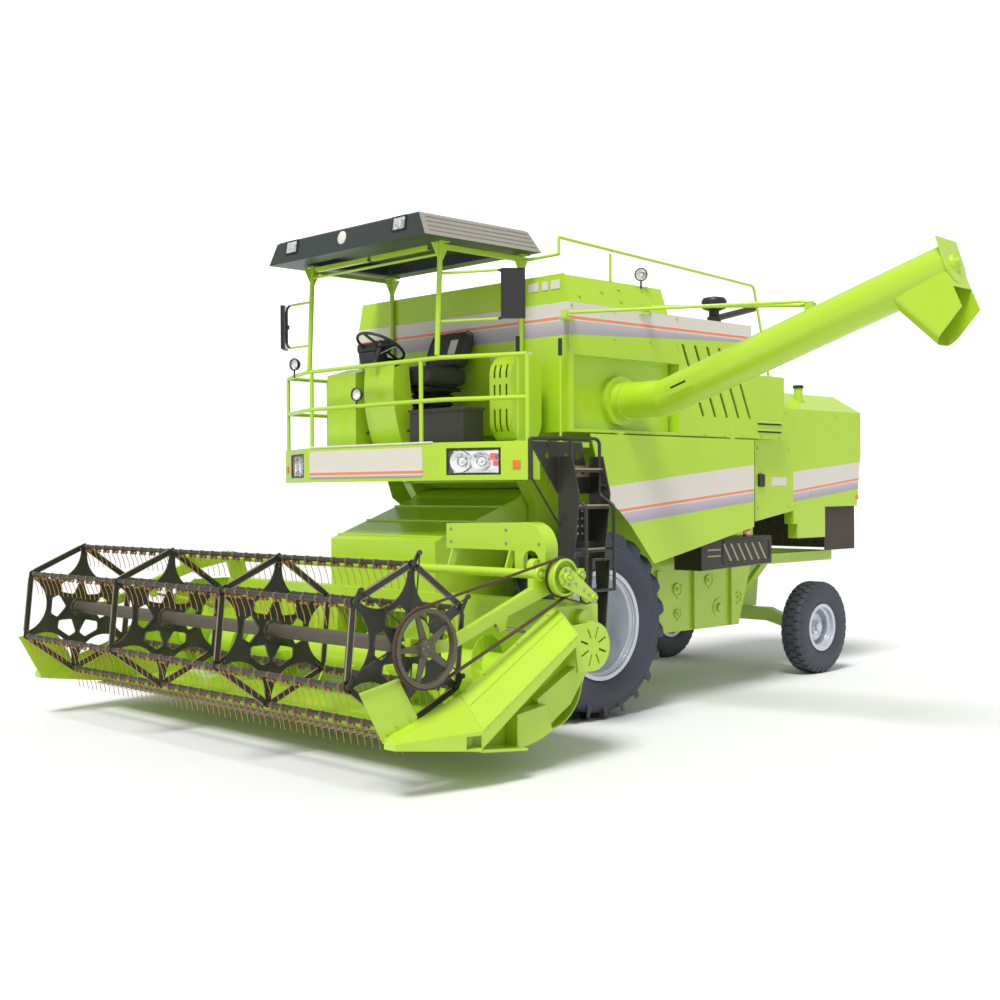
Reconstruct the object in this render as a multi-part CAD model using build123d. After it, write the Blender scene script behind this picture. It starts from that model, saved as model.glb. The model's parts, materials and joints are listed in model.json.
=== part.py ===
"""Combine harvester with an open operator's platform, a swing-out unloading auger
and a pick-up reel whose bats stay upright, as separate solids, one STEP file per sub-part.

Modelled in millimetres from the middle of the front axle on the ground: +X forwards,
+Y to the machine's left, +Z up. Every piece is moved by ORIGIN as it is written, so
that the part's origin is the middle of its box, on the ground.
"""
from build123d import *
import math
import os

# ---------------------------------------------------------------- whole machine
ORIGIN = (-698.0, 882.5, 0.0)
FIT = 0.3                    # gap between faces that seat on each other
RUNNING = 6.0                # gap beside and round what moves
WHEELBASE = 3518.0
BODY_HALF = 750.0            # half width of the threshing body
BODY_LOW_Z = 540.0
BODY_REAR = (758.0 - WHEELBASE, 1200.0)  # where the sloping rear face meets the upright one
BODY_LOW_REAR_X = BODY_REAR[0] + 240.0
BODY_RIBS = [                # x, low z and high z of the upright ribs on the body's sides
    (-1300.0, 545.0, 1100.0),
    (-1830.0, 545.0, 1100.0),
    (-2400.0, 545.0, 1100.0),
]
RIB_DEPTH = 30.0
FAN_BEARING = (-2205.0, 718.0, 90.0)  # x, z and flange radius
UPPER_HALF = 1300.0          # half width of the grain tank and engine bay
DECK_Z = 2190.0              # platform floor
SOLE_Z = DECK_Z - 70.0       # top of the threshing body
JOINT_Z = 2275.0             # lower edge of the upper body, hinge line of the doors
TANK_TOP_Z = 3285.0
TANK_FRONT_X = 430.0
TANK_REAR_X = -930.0
TANK_WALL = 25.0
EXTENSION_H = 215.0          # height of the sloping boards above the tank
EXTENSION_REAR_X = -780.0
ENGINE_REAR_X = -1970.0
STEP_REAR_X = -2480.0        # low housing behind the engine bay
STEP_TOP_Z = 2850.0
SIDE_SLOTS = 5
AIR_CLEANER = (-1700.0, 1090.0)
EXHAUST = (-1830.0, 980.0)
HOOD_FRONT_X = BODY_REAR[0]
HOOD_REAR_X = -WHEELBASE - 1132.0
HOOD_HALF = 800.0
HOOD_BOXES = [               # distance behind the hood's front of both ends, low z, high z
    (1195.0, 625.0, 1475.0, 1650.0),
    (1195.0, 690.0, 1330.0, 1476.0),
]

# ---------------------------------------------------------------- wheels
FRONT_R = 751.0
FRONT_TYRE_W = 450.0
FRONT_OUTER_Y = 1300.0
FRONT_RIM_R = 444.0
REAR_R = 452.0
REAR_TYRE_W = 230.0
REAR_OUTER_Y = 1060.0
REAR_RIM_R = 233.0
KINGPIN_Y = 770.0
KINGPIN_R = 24.0
SPINDLE_R = 26.0
AXLE_R = 75.0                # front axle tube
BEAD_SHARE = 0.72            # width across the beads as a share of the tyre's width
FRAME_END_X = -WHEELBASE - 782.0
TOW_PIN_R = 16.0

# ---------------------------------------------------------------- header and reel
HEADER_HALF = 2205.0         # inner face of the end walls
SHEET = 8.0
TROUGH_X = 1250.0            # back wall of the header
TROUGH_TOP_Z = 1050.0
FLOOR_Z = 240.0
FEED_X = 1620.0
FEED_Z = 560.0
FEED_TUBE_R = 150.0
FEED_SHAFT_R = 30.0
FLIGHT_R = 270.0
FLIGHT_T = 5.0
FLIGHT_PITCH = 540.0
FINGERS = 10
FEEDER_HALF = BODY_HALF - 100.0
FEEDER_PIVOT = (150.0, 1500.0)
FEEDER_END_R = 340.0
TRUNNION_R = 45.0            # shaft on which the feeder swings in the body's cheeks
ARM_PIVOT = (1300.0, 1250.0)
ARM_Y = HEADER_HALF - 40.0
ARM_W = 50.0
ARM_SHAFT_R = 30.0
ARM_TUBE = (1700.0, 1275.0)  # cross tube between the arms, x and z
ARM_TUBE_R = 32.0
SHIELD_LOW_Z = 1420.0
REEL = (2770.0, 885.0)       # reel axis, x and z
REEL_R = 500.0               # circle of the bat pivots
REEL_HALF = HEADER_HALF - 115.0
REEL_TUBE_R = 48.0
REEL_SHAFT_R = 25.0
BATS = 6
BAT_FIRST = 96.0             # angle of the first bat above the forward line
BAT_R = 17.0
STARS = 4
STAR_T = 6.0
STAR_EDGE = 30.0             # reach of a plate's corners beyond the bat pivots
STAR_BAR = 26.0              # width of the flat bars round the edge
STAR_TIP = 34.0              # half width of an arm's tip
STAR_WAIST = 288.0           # radius at which each gap between two arms ends
STAR_LIP = 8.0
PULLEY_Y = HEADER_HALF + 65.0
REEL_PULLEY_R = 240.0
DRIVE_PULLEY = (1560.0, 1252.0)
DRIVE_PULLEY_R = 125.0
INPUT_PULLEY = (1300.0, 1105.0)
INPUT_PULLEY_R = 40.0
SPIDER_SHIFT = (-40.0, 70.0)  # offset of the control spider from the reel axis
SPIDER_Y = ARM_Y - 47.0
SPIDER_INNER_R = 112.0
SPIDER_OUTER_R = 126.0
CRANK_PIN_R = 7.0

DOOR_T = 12.0
DOOR_HINGE = (UPPER_HALF + 15.0, 2284.0)  # y and z of the doors' hinge line

# ---------------------------------------------------------------- rams, x and z of their pins
LIFT_FOOT = (120.0, 640.0)
LIFT_EYE = (1000.0, 385.0)
LIFT_Y = 400.0
REEL_FOOT = (1440.0, 820.0)
REEL_EYE = (2040.0, 950.0)
RAM_PIN_R = 12.0
RAM_EYE_R = 22.0             # wide eye at the rod's end

# ---------------------------------------------------------------- unloading auger
AUGER_X = -240.0
AUGER_Z = 2545.0
AUGER_R = 145.0
AUGER_WALL = 5.0
FLANGE_R = 200.0
RECESS_Y = UPPER_HALF - 100.0  # wall inside the recess that carries the flange
RECESS_TOP_Z = 2880.0
SWING = (-470.0, UPPER_HALF + 45.0)  # vertical hinge behind the flange
ELBOW_Y = UPPER_HALF + 400.0
AUGER_END = (-333.0, UPPER_HALF + 2760.0, 3320.0)
SPOUT_HALF = 132.0
SPOUT_OUTER = [(-345, -300), (-75, -542), (128, -310), (19, -57), (-360, -155)]
SPOUT_INNER = [(-341.7, -296.3), (-27, -578.3), (208, -350), (150, -171), (58, -171), (19, -55), (-352, -152)]
CLAMP_Y = UPPER_HALF + 1690.0
STAY_TOP_Z = 3310.0          # eye of the rear stay, on the line of the swing hinge
STAY_FOOT = (560.0, UPPER_HALF + 72.0)  # fork of the front stay, ahead of the tank
STAY_R = 13.0
STAY_PIN_R = 10.0
STAY_EYE_T = 10.0

# ---------------------------------------------------------------- platform
BEAM_X = 1370.0
BEAM_HALF = 840.0
WING_X = 1100.0
WING_HALF = 1500.0
BEAM_LOW_Z = 1905.0
BEAM_DEPTH = 130.0
LAMP_Z = 2045.0
LAMP_H = 200.0
LAMP_SPAN = (0.08, 0.70)     # ends of a lamp's pocket as shares of the angled wing
RAIL_R = 17.0
TOP_RAIL_Z = 2825.0
MID_RAIL_Z = 2510.0
POST_Y = 800.0
POST_R = RAIL_R + 3.0        # posts of the canopy
CANOPY_REAR_X = 400.0
CANOPY_FRONT_X = 1620.0
CANOPY_HALF = 980.0
CANOPY_LOW_Z = 3700.0
CANOPY_TOP_Z = 3880.0
STEERING_WHEEL = (1190.0, -60.0, 2990.0)
LEVERS = [(945.0, 1250.0, 2980.0), (535.0, 1300.0, 2990.0)]  # x, y and height of the knob
LADDER_FRONT_X = 780.0
LADDER_REAR_X = 430.0
STEP_LEVELS = (1985.0, 1715.0, 1390.0)

parts = {}


def keep(name, *solids):
    """Stores the solids of one sub-part under the name of its node."""
    found = []
    for item in solids:
        found.extend(item.solids())
    parts[name] = found


def block(x, y, z):
    """Box between pairs of limits along X, Y and Z."""
    size = Box(x[1] - x[0], y[1] - y[0], z[1] - z[0])
    return Pos((x[0] + x[1]) / 2, (y[0] + y[1]) / 2, (z[0] + z[1]) / 2) * size


def slab_xz(points, y_low, y_high):
    """Outline in X and Z, carried along Y."""
    face = make_face(Polyline(*points, close=True))
    return extrude(Plane.XZ.offset(-y_high) * face, amount=y_high - y_low)


def slab_yz(points, x_low, x_high):
    """Outline in Y and Z, carried along X."""
    face = make_face(Polyline(*points, close=True))
    return extrude(Plane.YZ.offset(x_low) * face, amount=x_high - x_low)


def slab_xy(points, z_low, z_high):
    """Outline in X and Y, carried upwards."""
    face = make_face(Polyline(*points, close=True))
    return extrude(Plane.XY.offset(z_low) * face, amount=z_high - z_low)


def disc_y(x, z, radius, y_low, y_high):
    """Cylinder along Y."""
    length = y_high - y_low
    return Pos(x, (y_low + y_high) / 2, z) * Rot(90, 0, 0) * Cylinder(radius, length)


def disc_x(y, z, radius, x_low, x_high):
    """Cylinder along X."""
    return Pos((x_low + x_high) / 2, y, z) * Rot(0, 90, 0) * Cylinder(radius, x_high - x_low)


def rod(start, end, radius):
    """Straight round bar between two points."""
    line = Line(start, end)
    return extrude(Plane(line @ 0, z_dir=line % 0) * Circle(radius), amount=line.length)


def pipe(points, radius, bend):
    """Round rail bent with one radius at every corner."""
    path = FilletPolyline(*points, radius=bend)
    return sweep(Plane(path @ 0, z_dir=path % 0) * Circle(radius), path=path)


def along_y(sketch, y_low, y_high):
    """Sketch drawn in X and Z, carried along Y between two stations."""
    return extrude(Plane.XZ.offset(-y_high) * sketch, amount=y_high - y_low, dir=(0, -1, 0))


def outline(*pieces):
    """Closed face from lines and arcs that follow each other."""
    return make_face(Wire([edge for piece in pieces for edge in piece.edges()]))


def polar(radius, angle):
    """Point at a radius and an angle in degrees."""
    return radius * math.cos(math.radians(angle)), radius * math.sin(math.radians(angle))


def turned(profile):
    """Ring about the Y axis from an outline of radius and y."""
    return revolve(make_face(Polyline(*profile, close=True)), Axis.Y)


def both_sides(solid):
    """The solid and its mirror image across the machine."""
    return [solid, mirror(solid, about=Plane.XZ)]


# ================================================================ wheels
def tyre(radius, rim_r, width, crown):
    """Round-shouldered tyre about Y, from bead to tread, as one ring."""
    half = width / 2
    bead = rim_r - 22.0
    bead_y = half * BEAD_SHARE
    section = radius - rim_r
    right = [
        (bead, bead_y), (rim_r + 3.0, bead_y), (rim_r + 0.22 * section, half * 0.93),
        (rim_r + 0.5 * section, half), (radius - 1.6 * crown, half * 0.95), (radius - crown, half * 0.86),
        (radius, half * 0.3),
    ]
    return turned(right + [(r, -y) for r, y in reversed(right)])


def rim(rim_r, width, dish, hub_r, disc_at):
    """Well-base rim with rolled edges, a dished disc and a hub, outer side at +y."""
    half = width / 2 * BEAD_SHARE
    seat = rim_r - 22.0 - FIT
    profile = [
        (seat, -half - FIT), (rim_r, -half - FIT), (rim_r, -half - 14), (seat - 12, -half - 14),
        (seat - 12, -half + 26), (seat - 34, -half + 44), (seat - 34, half - 44),
        (seat - 12, half - 26), (seat - 12, half + 14), (rim_r, half + 14), (rim_r, half + FIT),
        (seat, half + FIT), (seat, half - 20), (seat - 22, half - 38), (seat - 22, -half + 38),
        (seat, -half + 20),
    ]
    ring = turned(profile)
    web = [
        (hub_r, disc_at + dish), (hub_r + 70, disc_at + dish), (seat - 90, disc_at),
        (seat - 33, disc_at - 6), (seat - 33, disc_at - 18), (seat - 96, disc_at - 14),
        (hub_r + 64, disc_at + dish - 14), (hub_r, disc_at + dish - 14),
    ]
    return ring + turned(web)


def front_wheels():
    centre = FRONT_OUTER_Y - FRONT_TYRE_W / 2
    rubber = Pos(0, centre, FRONT_R) * tyre(FRONT_R, FRONT_RIM_R, FRONT_TYRE_W, 32.0)
    steel = rim(FRONT_RIM_R, FRONT_TYRE_W, 45.0, 105.0, -60.0)
    hub = turned([(0, -118), (112, -118), (112, -8), (62, 12), (62, 34), (0, 34)])
    for index in range(8):
        angle = math.radians(index * 45.0 + 22.5)
        window = Rot(90, 0, 0) * Cylinder(26, 120)
        steel -= Pos(290 * math.cos(angle), -60, 290 * math.sin(angle)) * window
    steel = Pos(0, centre, FRONT_R) * (steel + hub)
    for side, name in ((1, "left"), (-1, "right")):
        keep("tyre_front_" + name, rubber if side > 0 else mirror(rubber, about=Plane.XZ))
        keep("rim_front_" + name, steel if side > 0 else mirror(steel, about=Plane.XZ))


def rear_wheels():
    centre = REAR_OUTER_Y - REAR_TYRE_W / 2
    rubber = Pos(-WHEELBASE, centre, REAR_R) * tyre(REAR_R, REAR_RIM_R, REAR_TYRE_W, 16.0)
    steel = rim(REAR_RIM_R, REAR_TYRE_W, 40.0, 62.0, -30.0)
    hub = turned([(SPINDLE_R + 0.05, -52), (66, -52), (66, 20), (44, 30), (44, 62), (0, 62), (0, 50), (SPINDLE_R + 0.05, 50)])
    steel = Pos(-WHEELBASE, centre, REAR_R) * (steel + hub)
    for side, name in ((1, "left"), (-1, "right")):
        keep("tyre_rear_" + name, rubber if side > 0 else mirror(rubber, about=Plane.XZ))
        keep("rim_rear_" + name, steel if side > 0 else mirror(steel, about=Plane.XZ))


# ================================================================ chassis
def chassis_frame():
    axle = disc_y(0, FRONT_R, AXLE_R, -560, 560)
    gearbox = block((-210, 190), (-190, 190), (FRONT_R - 190, FRONT_R + 170))
    finals = [block((-150, 150), (560, 830), (FRONT_R - 165, FRONT_R + 210))]
    finals[0] = fillet(finals[0].edges().filter_by(Axis.Y), 60)
    spindle = disc_y(0, FRONT_R, 55, 830, FRONT_OUTER_Y - FRONT_TYRE_W / 2 - 118 - FIT)
    final = finals[0] + spindle
    axle_set = axle + gearbox + final + mirror(final, about=Plane.XZ)
    rails = []
    for side in (1, -1):
        y = sorted((side * 560, side * 700))
        rails.append(slab_xz([(-60, FRONT_R + 200), (70, FRONT_R + 200), (70, 1050), (-60, 1050)], *y))
    for rail in rails:
        axle_set += rail
    for side in (1, -1):
        for offset in (-12 - FIT - 12, 12 + FIT):
            y = side * LIFT_Y + offset
            axle_set += slab_xz([(-30, FRONT_R - 20), (40, FRONT_R + 20), (LIFT_FOOT[0] + 30, LIFT_FOOT[1] + 14),
                                 (LIFT_FOOT[0] + 30, LIFT_FOOT[1] - 30), (LIFT_FOOT[0] - 30, LIFT_FOOT[1] - 30)], y, y + 12)
        axle_set += disc_y(*LIFT_FOOT, RAM_PIN_R, side * LIFT_Y - 24, side * LIFT_Y + 24)
    keep("chassis_frame", axle_set, rear_axle())


def body_rear_x(z):
    """X of the threshing body's sloping rear face at one height."""
    share = (z - BODY_LOW_Z) / (BODY_REAR[1] - BODY_LOW_Z)
    return BODY_LOW_REAR_X + share * (BODY_REAR[0] - BODY_LOW_REAR_X)


def rear_axle():
    beam_z = 540.0
    arch = [
        (-KINGPIN_Y + 60, REAR_R - 40), (-KINGPIN_Y + 60, REAR_R + 60), (-420, beam_z + 75),
        (420, beam_z + 75), (KINGPIN_Y - 60, REAR_R + 60), (KINGPIN_Y - 60, REAR_R - 40),
        (420, beam_z - 55), (-420, beam_z - 55),
    ]
    beam = slab_yz(arch, -WHEELBASE - 55, -WHEELBASE + 55)
    for side in (1, -1):
        y = side * KINGPIN_Y
        for low, high in ((REAR_R - 88, REAR_R - 56), (REAR_R + 56, REAR_R + 88)):
            eye = Pos(-WHEELBASE, y, (low + high) / 2) * Cylinder(46, high - low)
            arm = block((-WHEELBASE - 46, -WHEELBASE + 46), sorted((y, side * (KINGPIN_Y - 75))), (low, high))
            beam += eye + arm
        post = block((-WHEELBASE - 46, -WHEELBASE + 46),
                     sorted((side * (KINGPIN_Y - 80), side * (KINGPIN_Y - 58))), (REAR_R - 88, REAR_R + 88))
        beam += post
        pin = Pos(-WHEELBASE, y, REAR_R) * Cylinder(KINGPIN_R, 176)
        beam += pin
    pedestal = slab_xz([
        (-WHEELBASE - 120, beam_z + 75), (-WHEELBASE + 120, beam_z + 75),
        (-WHEELBASE + 190, 1150), (-WHEELBASE - 190, 1150),
    ], -170, 170)
    body = beam + pedestal
    for side in (1, -1):
        y = sorted((side * 560, side * 640))
        rail = slab_xz([(body_rear_x(1080) - FIT, 1080), (body_rear_x(1180) - FIT, 1180), (FRAME_END_X, 1180),
                        (FRAME_END_X, 1080)], *y)
        strut = slab_xz([(-WHEELBASE + 318, 1085), (body_rear_x(600) - FIT, 600), (body_rear_x(700) - FIT, 700),
                         (-WHEELBASE + 428, 1085)], *sorted((side * 575, side * 625)))
        body += rail + strut
    body += block((-WHEELBASE - 190, -WHEELBASE + 190), (-560, 560), (1100, 1160))
    body += block((FRAME_END_X - 30, FRAME_END_X + 60), (-640, 640), (1080, 1180))
    hitch = block((FRAME_END_X - 150, FRAME_END_X - 30), (-60, 60), (1095, 1165))
    hitch -= block((FRAME_END_X - 170, FRAME_END_X - 60), (-61, 61), (1115, 1145))
    hitch -= Pos(FRAME_END_X - 105, 0, 1130) * Cylinder(TOW_PIN_R, 200)
    return body + hitch


def thresher_body():
    px, pz = FEEDER_PIVOT
    reach = FEEDER_END_R + RUNNING
    side = [
        (TANK_FRONT_X - 60, SOLE_Z), (TANK_FRONT_X - 60, 1890), (px + 90, 1700),
        (px + 90, 1330), (px - 60, 1110), (-130, 1060), (-520, 960), (-900, BODY_LOW_Z), (BODY_LOW_REAR_X, BODY_LOW_Z),
        BODY_REAR, (BODY_REAR[0], SOLE_Z),
    ]
    body = slab_xz(side, -BODY_HALF, BODY_HALF)
    inside = FEEDER_HALF + RUNNING
    body -= disc_y(px, pz, reach, -inside, inside)
    body -= slab_xz([(px, pz - reach), (px, pz + reach), (px + 90, pz + 395), (px + 300, pz + 395),
                     (px + 300, pz - reach)], -inside, inside)
    body -= disc_y(px, pz, TRUNNION_R + 0.05, -BODY_HALF - 1, BODY_HALF + 1)
    for x, low, high in BODY_RIBS:
        rib = block((x - 32, x + 32), (BODY_HALF - 1, BODY_HALF + RIB_DEPTH), (low, high))
        for piece in both_sides(rib):
            body += piece
    x, z, radius = FAN_BEARING
    flange = disc_y(x, z, radius, BODY_HALF - 1, BODY_HALF + 8) + disc_y(x, z, radius * 0.45, BODY_HALF, BODY_HALF + RIB_DEPTH)
    for piece in both_sides(flange):
        body += piece
    keep("thresher_body", body)


def straw_hood():
    half, wall = HOOD_HALF, 12.0
    outer = [(-half, 1640), (-half, 2620), (-470, 2810), (470, 2810), (half, 2620), (half, 1640)]
    inner = [(-half + wall, 1600), (-half + wall, 2612), (-466, 2798), (466, 2798), (half - wall, 2612),
             (half - wall, 1600)]
    hood = slab_yz(outer, HOOD_REAR_X, HOOD_FRONT_X)
    ramp = slab_xz([(HOOD_REAR_X - 5, 1560), (HOOD_REAR_X - 5, 2200), (HOOD_REAR_X, 2200), (HOOD_REAR_X + 92, 1560)],
                   -half - 10, half + 10)
    room = slab_yz(inner, HOOD_REAR_X + wall, HOOD_FRONT_X - wall) - Pos(wall, 0, 0) * ramp
    hood = hood - ramp - room
    for x_low, x_high, low, high in HOOD_BOXES:
        box = block((HOOD_FRONT_X - x_low, HOOD_FRONT_X - x_high), (half - 110, half), (low, high))
        for piece in both_sides(box):
            hood += piece
    hood += Pos(HOOD_FRONT_X - 990, half - 180, 2770) * Cylinder(45, 160)
    keep("straw_hood", hood)
    curtain = []
    rear, front = HOOD_REAR_X + 103, HOOD_FRONT_X - HOOD_BOXES[0][0] - 5
    for side in (1, -1):
        y = sorted((side * (half - wall - FIT), side * (half - wall - FIT - 10)))
        curtain.append(block((rear, front), y, (1190, 1700)))
    curtain.append(block((rear - 10.2, rear - FIT), (-half + wall + 1, half - wall - 1), (1190, 1700)))
    keep("straw_curtain", *curtain)


def clamp_point():
    """Middle of the tube under the clamp of the two stays."""
    share = (CLAMP_Y - ELBOW_Y) / (AUGER_END[1] - ELBOW_Y)
    return AUGER_X + share * (AUGER_END[0] - AUGER_X), AUGER_Z + share * (AUGER_END[2] - AUGER_Z)


def stay_level():
    """Height of the underside of the front stay, just above the clamp's plate."""
    return clamp_point()[1] + AUGER_R + 50.0 + FIT


def hinge_lugs(x, side):
    """Two lugs and a pin that carry one barrel of a side door's hinge."""
    body = disc_x(DOOR_HINGE[0] * side, DOOR_HINGE[1], 4, x - 50, x + 50)
    for low in (x - 50, x + 30 + FIT):
        y = sorted((side * (UPPER_HALF + FIT), side * (DOOR_HINGE[0] + 8)))
        body += block((low, low + 20 - FIT), y, (DOOR_HINGE[1] - 8, DOOR_HINGE[1] + 10))
    return body


def side_doors():
    """Panels hung from the upper body, each cut away over the front tyre."""
    y_in = DOOR_HINGE[0] - DOOR_T / 2
    outline = [(215, JOINT_Z - 6), (ENGINE_REAR_X - 6, JOINT_Z - 10), (ENGINE_REAR_X + 2, 1487), (-558, 1217),
               (-271, 1534), (-126, 1659), (31, 1764)]
    panel = slab_xz(outline, y_in, y_in + DOOR_T)
    for x in (-150, -1650):
        panel += disc_x(DOOR_HINGE[0], DOOR_HINGE[1], 8, x - 30, x + 30)
        panel += block((x - 30, x + 30), (y_in, y_in + DOOR_T - 2), (JOINT_Z - 20, DOOR_HINGE[1] - 2))
        panel -= disc_x(DOOR_HINGE[0], DOOR_HINGE[1], 4.05, x - 31, x + 31)
    keep("side_door_left", panel)
    keep("side_door_right", mirror(panel, about=Plane.XZ))


def grain_tank():
    """Open bin of separate plates, with a recess in its left side for the unloading auger's foot."""
    front, rear, half = TANK_FRONT_X, TANK_REAR_X, UPPER_HALF
    base, top = JOINT_Z + 5, TANK_TOP_Z
    wall, gap = TANK_WALL, FIT
    inner_y = RECESS_Y - wall
    ceiling = RECESS_TOP_Z + wall
    plates = [  # both limits along X, Y and Z
        ((front - wall, front), (-half, half), (base, top)),
        ((rear, rear + wall), (-half, inner_y), (base, top)),
        ((rear, rear + wall), (inner_y + gap, half - wall), (ceiling + gap, top)),
        ((rear + wall + gap, front - wall - gap), (-half, -half + wall), (base, top)),
        ((rear + wall + gap, front - wall - gap), (-half + wall + gap, inner_y - gap), (base, base + 2 * wall)),
        ((rear, front - wall - gap), (RECESS_Y + gap, half), (RECESS_TOP_Z, ceiling)),
        ((rear, front - wall - gap), (half - wall + gap, half), (ceiling + gap, top)),
        ((front - 2 * wall, front - wall - gap), (RECESS_Y + gap, half), (base + wall + gap, RECESS_TOP_Z - gap)),
        ((rear, front - wall - gap), (RECESS_Y + gap, half), (base, base + wall)),
        ((rear, front - 60), (-BODY_HALF, BODY_HALF), (SOLE_Z + gap, base - gap)),
    ]
    solids = [block(*limits) for limits in plates]
    cheek = block((rear + wall + gap, front - wall - gap), (inner_y, RECESS_Y), (base, ceiling))
    cheek -= disc_y(AUGER_X, AUGER_Z, AUGER_R - AUGER_WALL, inner_y - 1, RECESS_Y + 1)
    cheek += slab_xz([(front - 50 - gap, RECESS_TOP_Z - gap), (front - 250, RECESS_TOP_Z - gap), (front - 50 - gap, 2560)],
                     RECESS_Y, RECESS_Y + 8)
    ring = turned([(AUGER_R - AUGER_WALL, gap), (FLANGE_R, gap), (FLANGE_R, 30), (AUGER_R - AUGER_WALL, 30)])
    hinge = Pos(SWING[0], SWING[1], AUGER_Z) * Cylinder(12, 170)
    for low in (AUGER_Z - 90, AUGER_Z + 76):
        hinge += block((SWING[0] - 20, SWING[0] + 20), (RECESS_Y + gap, SWING[1] + 20), (low, low + 14))
    low = top - 30
    shelf = slab_xy([(SWING[0] - 70, half + gap), (SWING[0] + 70, half + gap), (SWING[0] + 22, SWING[1] + 22),
                     (SWING[0] - 22, SWING[1] + 22)], low, low + 12)
    shelf += Pos(SWING[0], SWING[1], low) * Cylinder(12, STAY_TOP_Z + 20 - low, align=(Align.CENTER, Align.CENTER, Align.MIN))
    solids += [cheek, Pos(AUGER_X, RECESS_Y, AUGER_Z) * ring, hinge, shelf, stay_bracket(front)]
    solids += tank_extension(front)
    solids += [hinge_lugs(-150, side) for side in (1, -1)]
    keep("grain_tank", *solids)


def tank_extension(front):
    """Sloping boards above the tank: one across the front and one along each side."""
    low, top = TANK_TOP_Z + FIT, TANK_TOP_Z + EXTENSION_H
    lean = 60.0
    board = 12.0
    face = front - 16
    boards = [slab_yz([(-UPPER_HALF + lean, top + 10), (-UPPER_HALF, low), (UPPER_HALF, low), (UPPER_HALF - lean, top + 10)],
                      face, face + board)]
    for side in (1, -1):
        foot = [(face - FIT, side * UPPER_HALF), (face - FIT, side * (UPPER_HALF - board)),
                (EXTENSION_REAR_X, side * (UPPER_HALF - board)), (EXTENSION_REAR_X, side * UPPER_HALF)]
        head = [(face - FIT, side * (UPPER_HALF - lean)), (face - FIT, side * (UPPER_HALF - lean - board)),
                (EXTENSION_REAR_X + 20, side * (UPPER_HALF - lean - board)), (EXTENSION_REAR_X + 20, side * (UPPER_HALF - lean))]
        lower = Plane.XY.offset(low) * make_face(Polyline(*foot, close=True))
        upper = Plane.XY.offset(top) * make_face(Polyline(*head, close=True))
        boards.append(loft([lower, upper], ruled=True))
    return boards


def stay_bracket(front):
    """Shelf ahead of the tank with the fork and pin of the front stay."""
    low = stay_level()
    shelf = slab_xy([(front - 60, UPPER_HALF - 10), (front - 1, UPPER_HALF - 60), (STAY_FOOT[0] + 34, STAY_FOOT[1] - 30),
                     (STAY_FOOT[0] + 40, STAY_FOOT[1] + 30), (STAY_FOOT[0] - 24, STAY_FOOT[1] + 34),
                     (front - 60, UPPER_HALF + 12)], low - 34, low - 22)
    shelf -= block((front - 70, front + FIT), (UPPER_HALF - 80, UPPER_HALF + FIT), (low - 40, low - 10))
    fork = Pos(0, 0, STAY_R) * Rot(90, 0, 0) * Cylinder(STAY_PIN_R, 2 * (STAY_EYE_T / 2 + FIT + 8))
    for side in (1, -1):
        y = side * (STAY_EYE_T / 2 + FIT + 4)
        ear = Pos(0, y, (STAY_R + 24 - 34) / 2) * Box(44, 8, STAY_R + 24 + 34)
        fork += ear
    return shelf + stay_place() * fork


def engine_housing():
    wall = 16.0
    front, rear = TANK_REAR_X - FIT, ENGINE_REAR_X
    bay = block((rear, front), (-UPPER_HALF, UPPER_HALF), (JOINT_Z + 5, TANK_TOP_Z))
    bay -= block((rear + wall, front - wall), (-UPPER_HALF + wall, UPPER_HALF - wall), (JOINT_Z + 5 + wall, TANK_TOP_Z - wall))
    rear_box = block((STEP_REAR_X, rear + 1), (-UPPER_HALF, UPPER_HALF), (JOINT_Z + 5, STEP_TOP_Z))
    rear_box -= block((STEP_REAR_X + wall, rear), (-UPPER_HALF + wall, UPPER_HALF - wall),
                      (JOINT_Z + 5 + wall, STEP_TOP_Z - wall))
    bay += rear_box
    for index in range(SIDE_SLOTS):
        top = front - 30.0 - index * 170.0
        slot = [(top, 3053), (top - 34, 3053), (top - 320, 2452), (top - 286, 2452)]
        bay -= slab_xz(slot, UPPER_HALF - wall - 2, UPPER_HALF + 2)
        bay -= slab_xz(slot, -UPPER_HALF - 2, -UPPER_HALF + wall + 2)
    bay += block((STEP_REAR_X, front), (-BODY_HALF, BODY_HALF), (SOLE_Z + FIT, JOINT_Z + 5))
    for side in (1, -1):
        bay += hinge_lugs(-1650, side)
    keep("engine_housing", bay, *rear_panels(), air_cleaner(), exhaust())
    keep("engine_block", block((rear + 110, front - 70), (-520, 480), (JOINT_Z + 5 + wall + FIT, 3060)))


def air_cleaner():
    """Bowl-topped intake on the roof of the engine bay."""
    top = TANK_TOP_Z + FIT
    bowl = [(0, 0), (62, 0), (62, 70), (46, 84), (46, 128), (104, 150), (112, 170), (112, 218), (96, 244), (0, 262)]
    return Pos(AIR_CLEANER[0], AIR_CLEANER[1], top) * revolve(
        Plane.XZ * make_face(Polyline(*bowl, close=True)), Axis.Z)


def exhaust():
    """Slanting tail pipe that rises rearwards from the engine bay's roof."""
    x, y = EXHAUST
    top = TANK_TOP_Z + FIT
    return rod((x, y, top), (x, y, top + 95), 40) + rod((x + 40, y, top + 70), (x - 640, y, top + 232), 30)


def rear_panels():
    """Fixed panel behind each door, on a stay from the threshing body."""
    pieces = []
    for side in (1, -1):
        y = sorted((side * 1188, side * 1200))
        panel = slab_xz([(-2157, 1530), (-2157, JOINT_Z), (BODY_REAR[0] - 15, JOINT_Z), (BODY_REAR[0] - 15, 1620)], *y)
        stay = block((-2330, -2180), sorted((side * (BODY_HALF + FIT), side * 1188)), (1900, 1960))
        pieces.append(panel + stay)
    return pieces


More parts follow.
